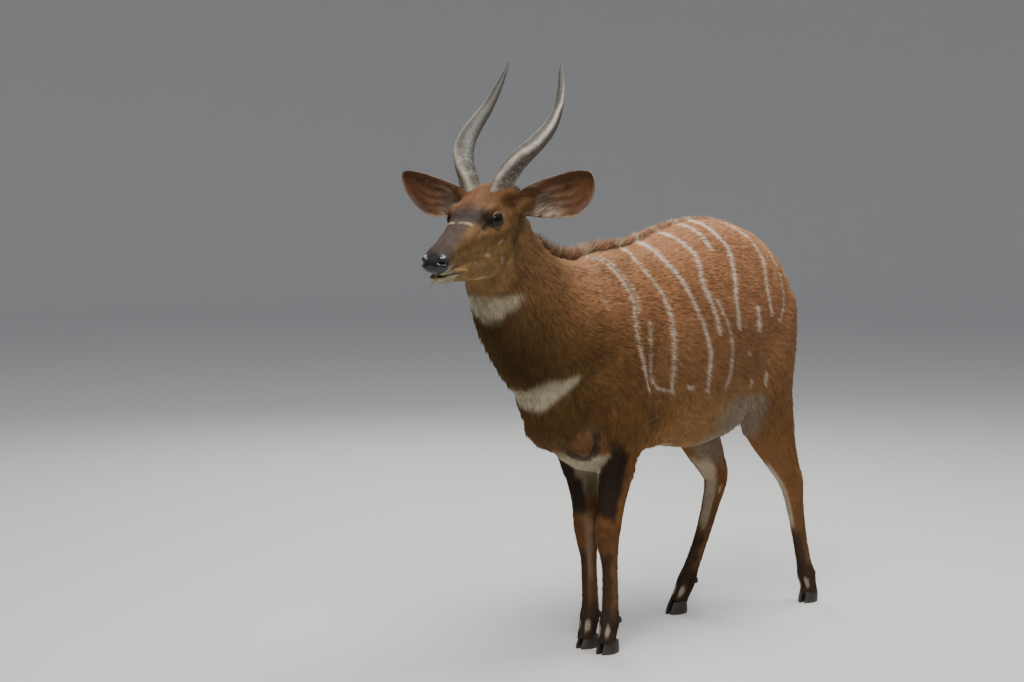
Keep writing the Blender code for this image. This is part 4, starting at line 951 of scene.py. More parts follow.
def ringGroup():
    # growth rings: a wave across the object's own height, bent by noise, as a height and a mask
    tree, enter, leave = groupOf("growthRings", (("Scale", "INPUT", "Float", 90.0),
                                                 ("Bend", "INPUT", "Float", 1.5),
                                                 ("Height", "OUTPUT", "Float", None),
                                                 ("Mask", "OUTPUT", "Float", None)))
    make, link = tree.nodes.new, tree.links.new
    place = make("ShaderNodeTexCoord")
    wave = make("ShaderNodeTexWave")
    wave.wave_type = "BANDS"
    wave.bands_direction = "Z"
    wave.inputs["Detail"].default_value = 2.0
    wave.inputs["Detail Scale"].default_value = 1.6
    link(place.outputs["Object"], wave.inputs["Vector"])
    link(enter.outputs["Scale"], wave.inputs["Scale"])
    link(enter.outputs["Bend"], wave.inputs["Distortion"])
    link(wave.outputs["Fac"], leave.inputs["Height"])
    link(wave.outputs["Fac"], leave.inputs["Mask"])
    return tree


groups = {"tone": toneGroup(), "rings": ringGroup()}


def newMaterial(name, **sockets):
    material = bpy.data.materials.new(name)
    material.use_nodes = True
    shader = material.node_tree.nodes["Principled BSDF"]
    for label, value in sockets.items():
        shader.inputs[label].default_value = value
    return material, material.node_tree, shader


def withTone(tree, shader, attribute, size, amount, bump, distance):
    # attribute colour through the tone group, and its height as bump
    read = tree.nodes.new("ShaderNodeAttribute")
    read.attribute_name = attribute
    tone = tree.nodes.new("ShaderNodeGroup")
    tone.node_tree = groups["tone"]
    tone.inputs["Size"].default_value = size
    tone.inputs["Amount"].default_value = amount
    tree.links.new(read.outputs["Color"], tone.inputs["Colour"])
    tree.links.new(tone.outputs["Colour"], shader.inputs["Base Color"])
    raised = tree.nodes.new("ShaderNodeBump")
    raised.inputs["Strength"].default_value = bump
    raised.inputs["Distance"].default_value = distance
    tree.links.new(tone.outputs["Height"], raised.inputs["Height"])
    tree.links.new(raised.outputs["Normal"], shader.inputs["Normal"])
    return raised


def coatMaterial():
    material, tree, shader = newMaterial("coatHair", **{"Roughness": 0.66, "Specular IOR Level": 0.12})
    withTone(tree, shader, "hair", 420.0, 0.16, 0.25, 0.0006)
    return material


def skinMaterial():
    # dull under the hair, wet on the nose pad and along the lids
    material, tree, shader = newMaterial("skinUnderCoat", **{"Roughness": 0.7, "Specular IOR Level": 0.2,
                                                             "Coat Roughness": 0.16})
    withTone(tree, shader, "hide", 900.0, 0.14, 0.5, 0.0009)
    wet = tree.nodes.new("ShaderNodeAttribute")
    wet.attribute_name = "wet"
    rough = tree.nodes.new("ShaderNodeMapRange")
    rough.inputs["To Min"].default_value = 0.72
    rough.inputs["To Max"].default_value = 0.30
    tree.links.new(wet.outputs["Fac"], rough.inputs["Value"])
    tree.links.new(rough.outputs["Result"], shader.inputs["Roughness"])
    gloss = tree.nodes.new("ShaderNodeMath")
    gloss.operation = "MULTIPLY"
    gloss.inputs[1].default_value = 0.55
    tree.links.new(wet.outputs["Fac"], gloss.inputs[0])
    tree.links.new(gloss.outputs[0], shader.inputs["Coat Weight"])
    return material


horny = {
    # roughness, shine; tone size, amount, bump and depth; rings' scale, bend, bump and depth
    "agedHorn": ("hornTone", (0.55, 0.35), (260.0, 0.30, 0.45, 0.0012), (70.0, 3.0, 0.18, 0.0012)),
    "hoofHorn": ("hoofTone", (0.55, 0.40), (340.0, 0.35, 0.35, 0.0008), (95.0, 1.2, 0.30, 0.0010)),
}


def ridgedMaterial(name):
    # growth rings as a second bump over the broken tone
    attribute, (rough, shine), broken, (scale, bend, strength, depth) = horny[name]
    material, tree, shader = newMaterial(name, **{"Roughness": rough, "Specular IOR Level": shine})
    raised = withTone(tree, shader, attribute, *broken)
    rings = tree.nodes.new("ShaderNodeGroup")
    rings.node_tree = groups["rings"]
    rings.inputs["Scale"].default_value = scale
    rings.inputs["Bend"].default_value = bend
    ridges = tree.nodes.new("ShaderNodeBump")
    ridges.inputs["Strength"].default_value = strength
    ridges.inputs["Distance"].default_value = depth
    tree.links.new(rings.outputs["Height"], ridges.inputs["Height"])
    tree.links.new(raised.outputs["Normal"], ridges.inputs["Normal"])
    tree.links.new(ridges.outputs["Normal"], shader.inputs["Normal"])
    return material


def eyeMaterial():
    material, tree, shader = newMaterial("wetEye", **{"Roughness": 0.05, "Specular IOR Level": 0.22})
    read = tree.nodes.new("ShaderNodeAttribute")
    read.attribute_name = "eyeTone"
    tree.links.new(read.outputs["Color"], shader.inputs["Base Color"])
    return material


# The coat: small crowned tufts
coat = {
    # per part: square millimetres for each tuft, length, width, lift, wander; parts as in partsOf
    "area": (3.3, 6.6, 8.2, 5.2, 5.2, 5.4, 5.4, 4.5),
    "length": (0.0095, 0.0285, 0.0230, 0.0115, 0.0115, 0.0120, 0.0120, 0.0150),
    "width": (0.0019, 0.0030, 0.0029, 0.0021, 0.0021, 0.0022, 0.0022, 0.0024),
    "lift": (0.13, 0.22, 0.17, 0.13, 0.13, 0.13, 0.13, 0.20),
    "wander": (0.16, 0.26, 0.15, 0.12, 0.12, 0.12, 0.12, 0.18),
    # the share of tufts that lead a clump, and how far the rest lean towards its tip
    "share": (0.050, 0.085, 0.100, 0.070, 0.070, 0.070, 0.070, 0.10),
    "pull": (0.15, 0.60, 0.38, 0.15, 0.15, 0.18, 0.18, 0.40),
    "patch": 0.003,
}


def lieOfCoat(p, n):
    # the way the hair points: back along the trunk, down neck and legs, back and up over the face
    x, y, z = p.T
    onHead = step(-0.045, 0.045, (p - neckTop["at"]) @ neckTop["way"])
    onNeck = step(-0.11, 0.06, (p - neckBase["at"]) @ neckBase["way"])
    flat = np.zeros_like(p)
    flat[:, 1] = 1.0
    flat[:, 2] = -0.26 - 0.9 * step(0.62, 0.76, y) - 0.30 * step(0.95, 0.70, z)
    chest = step(-0.20, -0.30, y) * step(0.90, 0.75, z)
    flat = flat + chest[:, None] * np.array([0.0, -0.6, -1.0])
    front = step(0.2, -0.5, n[:, 1])
    neckWay = np.stack([0.0 * x, 0.62 - 0.45 * front, -0.80 - 0.10 * front], 1)
    flow = flat + (neckWay - flat) * onNeck[:, None]
    fore = step(0.80, 0.62, z) * step(0.24, 0.10, y) * step(-0.30, -0.16, y)
    flow = flow + (np.array([0.0, 0.10, -1.0]) - flow) * (fore * (1 - onNeck))[:, None]
    hind = step(0.86, 0.60, z) * step(0.38, 0.50, y)
    bend = np.where(x > 0, 0.35, np.where(z < 0.40, -0.75, 0.45))
    hindWay = np.stack([0 * x, bend, -np.ones_like(x)], 1)
    flow = flow + (hindWay - flow) * hind[:, None]
    tail = (y > 0.785) & (np.abs(x) < 0.03) & (z < 1.02)
    flow[tail] = [0.0, 0.05, -1.0]
    hp, hs = headPlace(p)
    a, d = hp[:, 0], hp[:, 2]
    back = -ahead + crown * (0.10 + 0.45 * step(0.14, 0.05, a) * step(0.0, 0.05, d)
                             - 0.35 * step(0.02, -0.06, d))[:, None]
    back = back + left * (hs * (0.25 * step(0.20, 0.10, a)))[:, None]
    back = (back + (np.array([0.0, 0.0, -1.0]) - back)
            * (step(0.09, 0.0, a) * step(0.03, -0.05, d) * 0.75)[:, None])
    flow = flow + (back - flow) * onHead[:, None]
    flow = flow - n * np.sum(flow * n, 1)[:, None]
    return unit(flow)


def bareAt(p):
    # no tufts on the nose pad, in the mouth and the eye openings, under the feet or under the horns
    hp, _ = headPlace(p)
    onHead = (p - neckTop["at"]) @ neckTop["way"] > -0.01
    pad = np.linalg.norm((hp - [0.394, 0.0, -0.008]) / [0.030, 0.043, 0.028], axis=1) < 1.0
    lips = nearLine(hp, np.array(skull["mouth"]))[0] < 0.0042
    bare = onHead & (pad | lips)
    for side in (1, -1):
        out, level, rise = eyeAxes(side)
        q = p - inHead(skull["eye"], side)
        bare |= ((np.sqrt(lidShape(q @ level, q @ rise)) < 1.20) & (q @ out > 0)
                 & (np.linalg.norm(q, axis=1) < 0.04))
        bare |= nearLine(p, inHead(np.array(horn["line"][:3]), side))[0] < 0.0225
        root, along = earLine(side)[:2]
        bare |= ((p - root) @ along > 0.040) & (np.linalg.norm(np.cross(p - root, along), axis=1) < 0.06)
    return bare | (p[:, 2] < 0.030)


def scatter(p, f, areaEach, rng):
    # even draws over the surface: steps of one tuft through the running sum of area / areaEach
    a, b, c = p[f[:, 0]], p[f[:, 1]], p[f[:, 2]]
    size = np.linalg.norm(np.cross(b - a, c - a), axis=1) / 2
    run = np.cumsum(size / areaEach)
    want = np.arange(int(run[-1])) + rng.random(int(run[-1])) * 0.8
    k = np.minimum(np.searchsorted(run, want), len(f) - 1)
    r = np.sqrt(rng.random(len(k)))[:, None]
    s = rng.random(len(k))[:, None]
    weights = np.concatenate([1 - r, r * (1 - s), r * s], 1)
    return k, weights, a[k] * weights[:, :1] + b[k] * weights[:, 1:2] + c[k] * weights[:, 2:]


def tuftPoints(root, n, flow, length, width, lift, sink=0.0010):
    # two root corners, a ridge at two fifths of the length, and a tip that lies down again
    across = np.cross(n, flow)
    low = root - n * sink
    half = across * (width / 2)[:, None]
    ridge = root + flow * (0.40 * length)[:, None] + n * (0.62 * lift * length)[:, None]
    tip = root + flow * length[:, None] + n * (lift * length)[:, None]
    return np.stack([low - half, low + half, ridge, tip], 1)


def addTufts(name, points, normals, flows, colours, unwrap, slotName, material, replaced=()):
    # three faces a tuft, with corners shaded between the skin's way and the tuft's own
    count = len(points)
    mesh = bpy.data.meshes.new(name)
    mesh.vertices.add(count * 4)
    mesh.vertices.foreach_set("co", (points + stand["move"]).astype(np.float32).ravel())
    base = (np.arange(count) * 4)[:, None, None]
    faces = (base + np.array([[0, 2, 1], [0, 3, 2], [1, 2, 3]])[None]).astype(np.int32)
    mesh.loops.add(count * 9)
    mesh.loops.foreach_set("vertex_index", faces.ravel())
    mesh.polygons.add(count * 3)
    mesh.polygons.foreach_set("loop_start", np.arange(count * 3, dtype=np.int32) * 3)
    mesh.polygons.foreach_set("use_smooth", np.ones(count * 3, bool))
    # a patch as wide as its setting for each tuft, at its root's place
    spot = np.array([[-0.5, -0.5], [0.5, -0.5], [0.0, 0.1], [0.0, 0.5]]) * coat["patch"]
    corners = unwrap[:, None] + spot[None]
    layer = mesh.uv_layers.new(name="OFBake")
    layer.data.foreach_set("uv", corners.reshape(-1, 2)[faces.ravel()].astype(np.float32).ravel())
    mesh.update(calc_edges=True)
    across = np.cross(normals, flows)
    shade = np.stack([normals - 0.45 * across, normals + 0.45 * across, normals, normals + 0.25 * flows], 1)
    mesh.normals_split_custom_set_from_vertices(unit(shade).reshape(-1, 3))
    item = bpy.data.objects.new(name, mesh)
    bpy.context.scene.collection.objects.link(item)
    pointColour(item, "hair", colours.reshape(-1, 3))
    mesh.materials.append(material)
    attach(item, stand["body"])
    if replaced:
        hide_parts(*replaced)
    return item


def unwrapAt(p, kind):
    # each part rolled out along and around its own axis, from 0.01 to 0.99 both ways
    u, v = np.zeros(len(p)), np.zeros(len(p))
    x, y, z = p.T
    for part in range(8):
        m = kind == part
        if not m.any():
            continue
        if part == 0:
            q = (p[m] - head["origin"]) @ headAxes.T
            u[m], v[m] = (q[:, 0] + 0.06) / 0.48, np.arctan2(q[:, 1], q[:, 2] + 0.02) / (2 * np.pi) + 0.5
        elif part == 1:
            axis = unit(np.array([0.0, -0.62, 0.78]))
            q = p[m] - [0, -0.25, 0.85]
            u[m] = (q @ axis + 0.28) / 0.72
            v[m] = np.arctan2(q[:, 0], q @ np.cross([1.0, 0, 0], axis)) / (2 * np.pi) + 0.5
        elif part in (2, 7):
            u[m] = (y[m] + 0.42) / 1.28
            v[m] = np.abs(np.arctan2(x[m], z[m] - 0.85)) / np.pi
            if part == 7:
                u[m], v[m] = (z[m] - 0.55) / 0.5, np.arctan2(x[m], y[m] - 0.81) / (2 * np.pi) + 0.5
        else:
            lx, ly = legAt(legs[part - 3][1], z[m])[:2]
            u[m], v[m] = z[m] / 0.60, np.arctan2(x[m] - lx, y[m] - ly) / (2 * np.pi) + 0.5
    return np.clip(np.stack([u, v], 1), 0.0, 1.0) * 0.98 + 0.01


def gather(root, normal, flow, length, part, rng):
    # tufts lean towards the tip of the nearest leading tuft; gap is 0 beside it and 1 between clumps
    share = np.array(coat["share"])[part]
    leaders = np.nonzero(rng.random(len(root)) < share)[0]
    tree = KDTree(len(leaders))
    for i, place in enumerate(root[leaders].tolist()):
        tree.insert(place, i)
    tree.balance()
    near = np.array([tree.find(place)[1:] for place in root.tolist()])
    lead = leaders[near[:, 0].astype(int)]
    spacing = np.sqrt(np.array(coat["area"])[part] * 1e-6 / share)
    gap = np.clip(near[:, 1] / (0.62 * spacing), 0, 1)
    tip = root[lead] + flow[lead] * (1.15 * length[lead])[:, None]
    lean = flow + unit(tip - root) * np.array(coat["pull"])[part][:, None]
    lean = unit(lean - normal * np.sum(lean * normal, 1)[:, None])
    shade = rng.normal(1.0, 0.125, len(root))[lead]
    return lean, gap, shade


def growCoat(p, f, n, material, seed):
    rng = np.random.default_rng(seed)
    kind = partsOf(p[f].mean(1))
    area = np.array(coat["area"])[kind] * 1e-6
    middle = p[f].mean(1)
    hp, _ = headPlace(middle)
    isHead = kind == 0
    muzzle = isHead & (hp[:, 0] > 0.26)
    area[muzzle] *= 0.62
    pick, w, root = scatter(p, f, area, rng)
    normal = unit(np.einsum("ij,ijk->ik", w, n[f[pick]]))
    part = kind[pick]
    keep = ~bareAt(root)
    root, normal, part = root[keep], normal[keep], part[keep]
    flow = lieOfCoat(root, normal)
    count = len(root)
    across = np.cross(normal, flow)
    drift = (lattice(root, 0.030, 21) - 0.5) * 1.1 + rng.normal(0, 1, count)
    flow = unit(flow + across * (drift * np.array(coat["wander"])[part])[:, None])
    length = np.array(coat["length"])[part] * rng.uniform(0.75, 1.25, count)
    width = np.array(coat["width"])[part] * rng.uniform(0.8, 1.2, count)
    lift = np.array(coat["lift"])[part] * rng.uniform(0.5, 1.5, count)
    hp, _ = headPlace(root)
    onHead = part == 0
    short = np.where(onHead, 0.50 + 0.50 * step(0.36, 0.10, hp[:, 0]), 1.0)
    eyeNear = np.linalg.norm(hp - np.array(skull["eye"]), axis=1)
    short = np.where(onHead, short * (0.45 + 0.55 * step(0.026, 0.045, eyeNear)), short)
    lower = step(0.62, 0.10, root[:, 2])
    short = np.where(part == 2, 1.0 - 0.30 * lower, short)
    short = np.where(onHead & (hp[:, 0] < 0.06) & (hp[:, 2] < 0.04), short * 1.9, short)
    # longer hair down the throat and inside the flank, shorter in the brisket's crease and behind the elbow
    below = -((root - neckTop["at"]) @ neckTop["way"])
    short = np.where(part == 1, 0.50 + 0.50 * step(0.0, 0.075, below), short)
    throat = step(0.3, -0.6, normal[:, 1]) * (part == 1)
    short = short * (1 + 0.25 * throat)
    inside = (step(0.30, 0.37, root[:, 1]) * step(0.56, 0.50, root[:, 1]) * step(0.70, 0.64, root[:, 2])
              * (part == 2))
    short = short * (1 + 0.35 * inside)
    twin, facing = mirrored(root), mirroredWays(root, normal)
    short = np.where(part == 2, short * (1 - 0.62 * step(0.040, 0.018, nearLine(twin, foldLine, facing)[0])),
                     short)
    short = np.where(part == 2, short * (1 - 0.45 * step(0.035, 0.015, nearLine(twin, elbowLine, facing)[0])),
                     short)
    length *= short
    width *= np.where(onHead, 0.45 + 0.55 * np.sqrt(short), 1.0)
    flow, gap, shade = gather(root, normal, flow, length, part, rng)
    lift *= 1.20 - 0.55 * gap
    corners = tuftPoints(root, normal, flow, length, width, lift)
    near, _ = paint(root + flow * (0.25 * length)[:, None], normal)
    far, _ = paint(root + flow * (0.80 * length)[:, None], normal)
    quiet = np.where(part == 0, 0.55, np.where((part == 1) | (part == 2), 1.0, 0.6))
    quiet = quiet * (1.0 - 0.55 * step(0.20, 0.45, near[:, 1]))
    # random tone per tuft and per clump, and painted shade on the tufts in the partings between clumps (gap)
    vary = 1.0 + quiet * (rng.normal(0, 0.085, count) + (shade - 1.0) + 0.08 - 0.24 * gap ** 2)
    vary = np.maximum(vary, 0.68)
    near, far = near * vary[:, None], far * vary[:, None]
    # painted shade at the root corners and a painted highlight at the tip
    colours = np.stack([near * 0.66, near * 0.66, 0.6 * near + 0.4 * far, far * 1.24], 1)
    uv = unwrapAt(root, part)
    onLeft, neckLeft = (root - head["origin"]) @ left >= 0, root[:, 0] >= 0.004
    sets = {"coatHeadLeft": (part == 0) & onLeft, "coatHeadRight": (part == 0) & ~onLeft,
            "coatNeckLeft": (part == 1) & neckLeft, "coatNeckRight": (part == 1) & ~neckLeft}
    for k, name in enumerate(("coatForeLeft", "coatForeRight", "coatHindLeft", "coatHindRight", "coatTail")):
        sets[name] = part == k + 3
    for label, low, high in (("Shoulder", -9.0, 0.13), ("Flank", 0.13, 0.42), ("Rump", 0.42, 9.0)):
        inRange = (part == 2) & (root[:, 1] >= low) & (root[:, 1] < high)
        sets["coat%sLeft" % label] = inRange & (root[:, 0] >= 0)
        sets["coat%sRight" % label] = inRange & (root[:, 0] < 0)
    total = 0
    for name, m in sets.items():
        if not m.any():
            continue
        addTufts(name, corners[m], normal[m], flow[m], np.clip(colours[m], 0.001, 0.98), uv[m], "coat",
                 material)
        print("  ", name, int(m.sum()) * 3)
        total += int(m.sum()) * 3
    print("coat faces", total)


# Ears
def earSteps(count):
    # places along the ear, closer together near its end
    return 0.02 + 0.98 * (1.0 - (1.0 - np.linspace(0.0, 1.0, count)) ** 1.8)


def earShell(side):
    # a leaf curled across its width:
    # place(t, s) = root + along t L + across (upper - s) w(t) - face cup(t) (1 - (2s - 1)^2)
    root, along, across, face, length = earLine(side)
    t = earSteps(ear["rows"])[:, None]
    s = np.linspace(0.0, 1.0, ear["columns"])[None]
    width = np.maximum(ear["width"] * (0.40 + 1.70 * t - 0.90 * t * t)
                       * np.maximum(0.0, 1.0 - t ** 3.0) ** 0.56, 0.003)
    cup = 0.028 * (1.0 - 0.80 * t) + 0.004
    wall = ear["wall"] * (1.0 - 0.45 * t)
    upper = 0.43 - 0.16 * np.minimum(1.0, t / 0.6)
    fold = (2 * s - 1) ** 2
    ripple = 0.0011 * np.sin(9.0 * s + 2.0) * np.sin(np.pi * t) + 0.0009 * np.sin(17 * t + 5 * s)
    back = -cup * (1 - fold) + ripple * (1 - fold)
    centre = root + along * (t * length)[..., None]
    outer = (centre + across * ((upper - s) * width)[..., None]
             + face * (back - wall * (1 - 0.6 * fold))[..., None])
    floor = np.where(t > 0.30, back, back + (0.30 - t) * 0.10 * (1 - fold))
    inner = (centre + across * ((upper - s) * width * 0.985)[..., None]
             + face * (floor + wall * 0.4 * (1 - fold))[..., None])
    return outer, inner


def earTone(t, s, inside, noise):
    # brown outside and over the rolled front edge; inside red-brown, with painted shade in the cup towards the upper
    # edge and near the root, pale streaks that run from the root, a greyish lower border and a thin pale rim
    edge = np.minimum(s, 1 - s)
    outer = np.tile(np.array([0.190, 0.095, 0.042]), (len(t), 1))
    outer = mixIn(outer, (0.075, 0.050, 0.034), step(0.60, 1.0, t) * 0.5)
    deep = np.tile(np.array([0.180, 0.078, 0.034]), (len(t), 1))
    # painted shade inside the cup, towards its upper edge and deep near the root
    deep = mixIn(deep, (0.070, 0.030, 0.016), step(0.62, 0.30, s + 0.2 * noise) * step(0.35, 0.60, t) * 0.65)
    deep = mixIn(deep, (0.060, 0.024, 0.012), step(0.26, 0.10, t) * step(0.2, 0.5, s) * 0.5)
    for middle, width, reach in ((0.30, 0.040, 0.80), (0.50, 0.050, 0.92), (0.69, 0.050, 0.85),
                                 (0.85, 0.035, 0.70)):
        drift = middle + 0.10 * (t - 0.5) + 0.06 * (noise - 0.5)
        deep = mixIn(deep, (0.420, 0.290, 0.200), np.exp(-((s - drift) / width) ** 2) * step(reach, 0.30, t)
                     * 0.62)
    deep = mixIn(deep, (0.170, 0.140, 0.120), step(0.80, 0.97, s) * step(0.45, 0.75, t) * 0.65)
    rolled = step(0.36, 0.26, t + 0.25 * s)
    inner = deep + (outer - deep) * rolled[:, None]
    c = outer + (inner - outer) * inside[:, None]
    c = mixIn(c, (0.460, 0.380, 0.300), step(0.022, 0.006, edge) * step(0.15, 0.35, t) * 0.65
              + step(0.975, 0.998, t) * 0.5)
    return c * (0.80 + 0.40 * noise)[:, None]


def buildEar(side, material, hair):
    label = "Left" if side > 0 else "Right"
    outer, inner = earShell(side)
    rows, cols = outer.shape[:2]
    rings = np.concatenate([outer, inner[:, ::-1]], 1)
    p, faces = closedTube(rings)
    item = newPiece("ear" + label, p + stand["move"], faces)
    outward(item)
    item.data.shade_smooth()
    t = np.repeat(earSteps(rows), 2 * cols)
    s = np.tile(np.concatenate([np.linspace(0, 1, cols), np.linspace(1, 0, cols)]), rows)
    inside = np.tile(np.concatenate([np.zeros(cols), np.ones(cols)]), rows)
    t, s, inside = (np.append(a, [a[0], a[-1]]) for a in (t, s, inside))
    noise = lattice(p, 0.010, 13)
    tone = earTone(t, s, inside, noise)
    pointColour(item, "hide", np.clip(tone * 0.9, 0.001, 0.9))
    pointColour(item, "wet", np.zeros((len(p), 3)))
    item.data.materials.append(material)
    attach(item, stand["body"])
    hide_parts("ear_left" if side > 0 else "ear_right")
    # hair over both faces: short outside, longer and paler inside near the head and along the lower edge
    rng = np.random.default_rng(40 + side)
    face = earLine(side)[3]
    made = []
    for grid, within in ((outer, 0.0), (inner, 1.0)):
        count = ear["hairOutside"] if within == 0 else ear["hairInside"]
        i = np.interp(rng.random(count) ** 0.85, earSteps(rows), np.arange(rows)) * 0.999
        j = rng.random(count) * (cols - 1.001)
        a, b = i.astype(int), j.astype(int)
        u, v = (i - a)[:, None], (j - b)[:, None]
        place = (grid[a, b] * (1 - u) * (1 - v) + grid[a + 1, b] * u * (1 - v) + grid[a, b + 1] * (1 - u) * v
                 + grid[a + 1, b + 1] * u * v)
        way = unit(grid[np.minimum(a + 1, rows - 1), b] - grid[a, b])
        over = unit(grid[a, np.minimum(b + 1, cols - 1)] - grid[a, b])
        normal = unit(np.cross(way, over))
        normal *= np.sign(normal @ face)[:, None] * (1 if within else -1)
        tt, ss = np.interp(i, np.arange(rows), earSteps(rows)), j / (cols - 1)
        if within:
            fan = over * ((0.55 - ss) * 1.3 * step(0.8, 0.2, tt))[:, None]
            way = unit(way + fan + over * rng.normal(0, 0.16, count)[:, None])
            size = 0.0085 + 0.020 * step(0.50, 0.12, tt) + 0.004 * step(0.6, 1.0, ss)
            lift = 0.14 + 0.30 * step(0.50, 0.10, tt)
            keep = (rng.random(count) < 0.45 + 0.55
                    * np.maximum(step(0.55, 0.15, tt), np.maximum(step(0.70, 0.95, ss), step(0.10, 0.02, ss))))
        else:
            way = unit(way + over * rng.normal(0, 0.12, count)[:, None])
            size = np.full(count, 0.0080)
            lift = np.full(count, 0.12)
            keep = np.ones(count, bool)
        size = size * rng.uniform(0.7, 1.3, count) * step(1.06, 0.90, tt)
        tone = earTone(tt, ss, np.full(count, within), lattice(place, 0.010, 13))
        pale = within * step(0.55, 0.22, tt) * step(0.12, 0.36, ss) * (rng.random(count) < 0.62)
        tone = mixIn(tone, (0.56, 0.46, 0.35), pale * 0.85) * rng.uniform(0.8, 1.2, count)[:, None]
        corners = tuftPoints(place, normal, way, size, np.full(count, 0.00105 if within else 0.0015), lift,
                             0.0003)
        # painted shade at the roots and a painted highlight at the tips
        colours = np.stack([tone * 0.9, tone * 0.9, tone, tone * 1.12], 1)
        uv = np.stack([tt * 0.9 + 0.05, (ss + within) * 0.47 + 0.03], 1)
        made.append([x[keep] for x in (corners, normal, way, np.clip(colours, 0.001, 0.98), uv)])
    joined = [np.concatenate([m[k] for m in made]) for k in range(5)]
    addTufts("earHair" + label, *joined, "coat", hair)


# Horns
horn = {"line": ((0.070, 0.038, 0.062), (0.054, 0.050, 0.100), (0.020, 0.074, 0.138), (-0.057, 0.099, 0.165),
                 (-0.135, 0.107, 0.188), (-0.205, 0.101, 0.216), (-0.258, 0.091, 0.252), (-0.294, 0.081, 0.289),
                 (-0.320, 0.077, 0.312)),
        "radius": 0.0255, "steps": 220, "around": 48, "turn": 2.3,
        "dark": (0.026, 0.024, 0.016), "mid": (0.062, 0.056, 0.040), "pale": (0.330, 0.285, 0.225),
        "tip": (0.060, 0.058, 0.056)}


def buildHorn(side, material):
    # ring(t, a) = centre(t) + (e1 cos a + e2 sin a) R(t) (1 + keel): a keel that winds half way round,
    # and wrinkles sin(wave t) that fade by the middle of the horn
    path = curveThrough(inHead(np.array(horn["line"]), side), horn["steps"])
    t = np.linspace(0, 1, horn["steps"])
    # three more rings go on down into the skull
    sunk = np.array([[0.030], [0.020], [0.010]])
    path = np.vstack([path[0] - unit(path[2] - path[0]) * sunk + crown * -0.15 * sunk, path])
    t = np.concatenate([[0.0] * 3, t])
    along = unit(np.gradient(path, axis=0))
    first = unit(ahead - along * (along @ ahead)[:, None])
    second = np.cross(along, first)
    a = np.linspace(0, 2 * np.pi, horn["around"], endpoint=False)[None]
    twist = a - side * (horn["turn"] * t - 0.5)[:, None]
    lesser = np.maximum(0.0, np.cos(twist - side * 1.9)) ** 9 * step(0.75, 0.40, t)[:, None]
    keel = 0.24 * np.maximum(0.0, np.cos(twist)) ** 9 + 0.14 * lesser + 0.04 * np.cos(2 * twist)
    bumps = ((0.030 * np.sin(58 * t * (1.7 - 0.7 * t)) * step(0.62, 0.10, t) * step(0.0, 0.03, t))[:, None]
             * (0.6 + 0.4 * np.cos(twist - 0.8)))
    fibre = 0.006 * np.sin(14 * twist + 3 * np.sin(9 * t)[:, None])
    radius = (horn["radius"] * (1 - 0.93 * t ** 1.75) + 0.0004)[:, None]
    radius[:3] *= np.array([[0.45], [0.65], [0.85]])
    shape = 1.0 + keel + bumps + fibre
    rings = path[:, None] + (first[:, None] * np.cos(a)[..., None] + second[:, None]
                             * np.sin(a)[..., None]) * (radius * shape)[..., None]
    p, faces = closedTube(rings)
    item = newPiece("horn" + ("Left" if side > 0 else "Right"), p + stand["move"], faces)
    outward(item)
    item.data.shade_smooth()
    tt = np.repeat(t, horn["around"])
    k = np.maximum(np.maximum(0.0, np.cos(twist)) ** 26, 0.7 * lesser ** 2.5).ravel()
    noise = lattice(rings.reshape(-1, 3), 0.007, 17)
    streak = lattice(np.stack([tt * 6.0, np.tile(np.cos(a[0]) * 0.3, len(t)),
                               np.tile(np.sin(a[0]) * 0.3, len(t))], 1), 0.030, 19)
    c = np.tile(np.array(horn["mid"]), (len(tt), 1))
    c = mixIn(c, horn["dark"], step(0.35, 0.75, streak) * 0.75 * (1 - k))
    # painted shade in the troughs between the wrinkles on the lower horn
    c = mixIn(c, horn["dark"], step(0.55, 0.0, tt) * step(0.0, -0.02, bumps.ravel()) * 0.45)
    fleck = lattice(rings.reshape(-1, 3), 0.0028, 37)
    c = mixIn(c, horn["pale"], step(0.60, 0.90, fleck) * step(0.60, 0.20, tt) * 0.45)
    # pale along the keels: partly the horn's own paler ridge, partly a painted highlight
    c = mixIn(c, horn["pale"], k * (0.80 - 0.25 * step(0.6, 1.0, tt)))
    c = mixIn(c, horn["pale"], step(0.10, 0.0, tt) * 0.35)
    c = mixIn(c, horn["tip"], step(0.75, 1.0, tt) * 0.8)
    c = c * (0.80 + 0.40 * noise)[:, None]
    c = np.vstack([c, c[:1], c[-1:]])
    pointColour(item, "hornTone", np.clip(c, 0.002, 0.9))
    item.data.materials.append(material)
    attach(item, stand["body"])
    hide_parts("horn_left" if side > 0 else "horn_right")


# Eyes
eyeBall = {"rings": 60, "around": 64, "bulge": 0.035, "pupil": (0.0100, 0.0066), "iris": (0.017, 0.009, 0.005),
           "pupilTone": (0.003, 0.003, 0.004), "white": (0.006, 0.004, 0.003)}


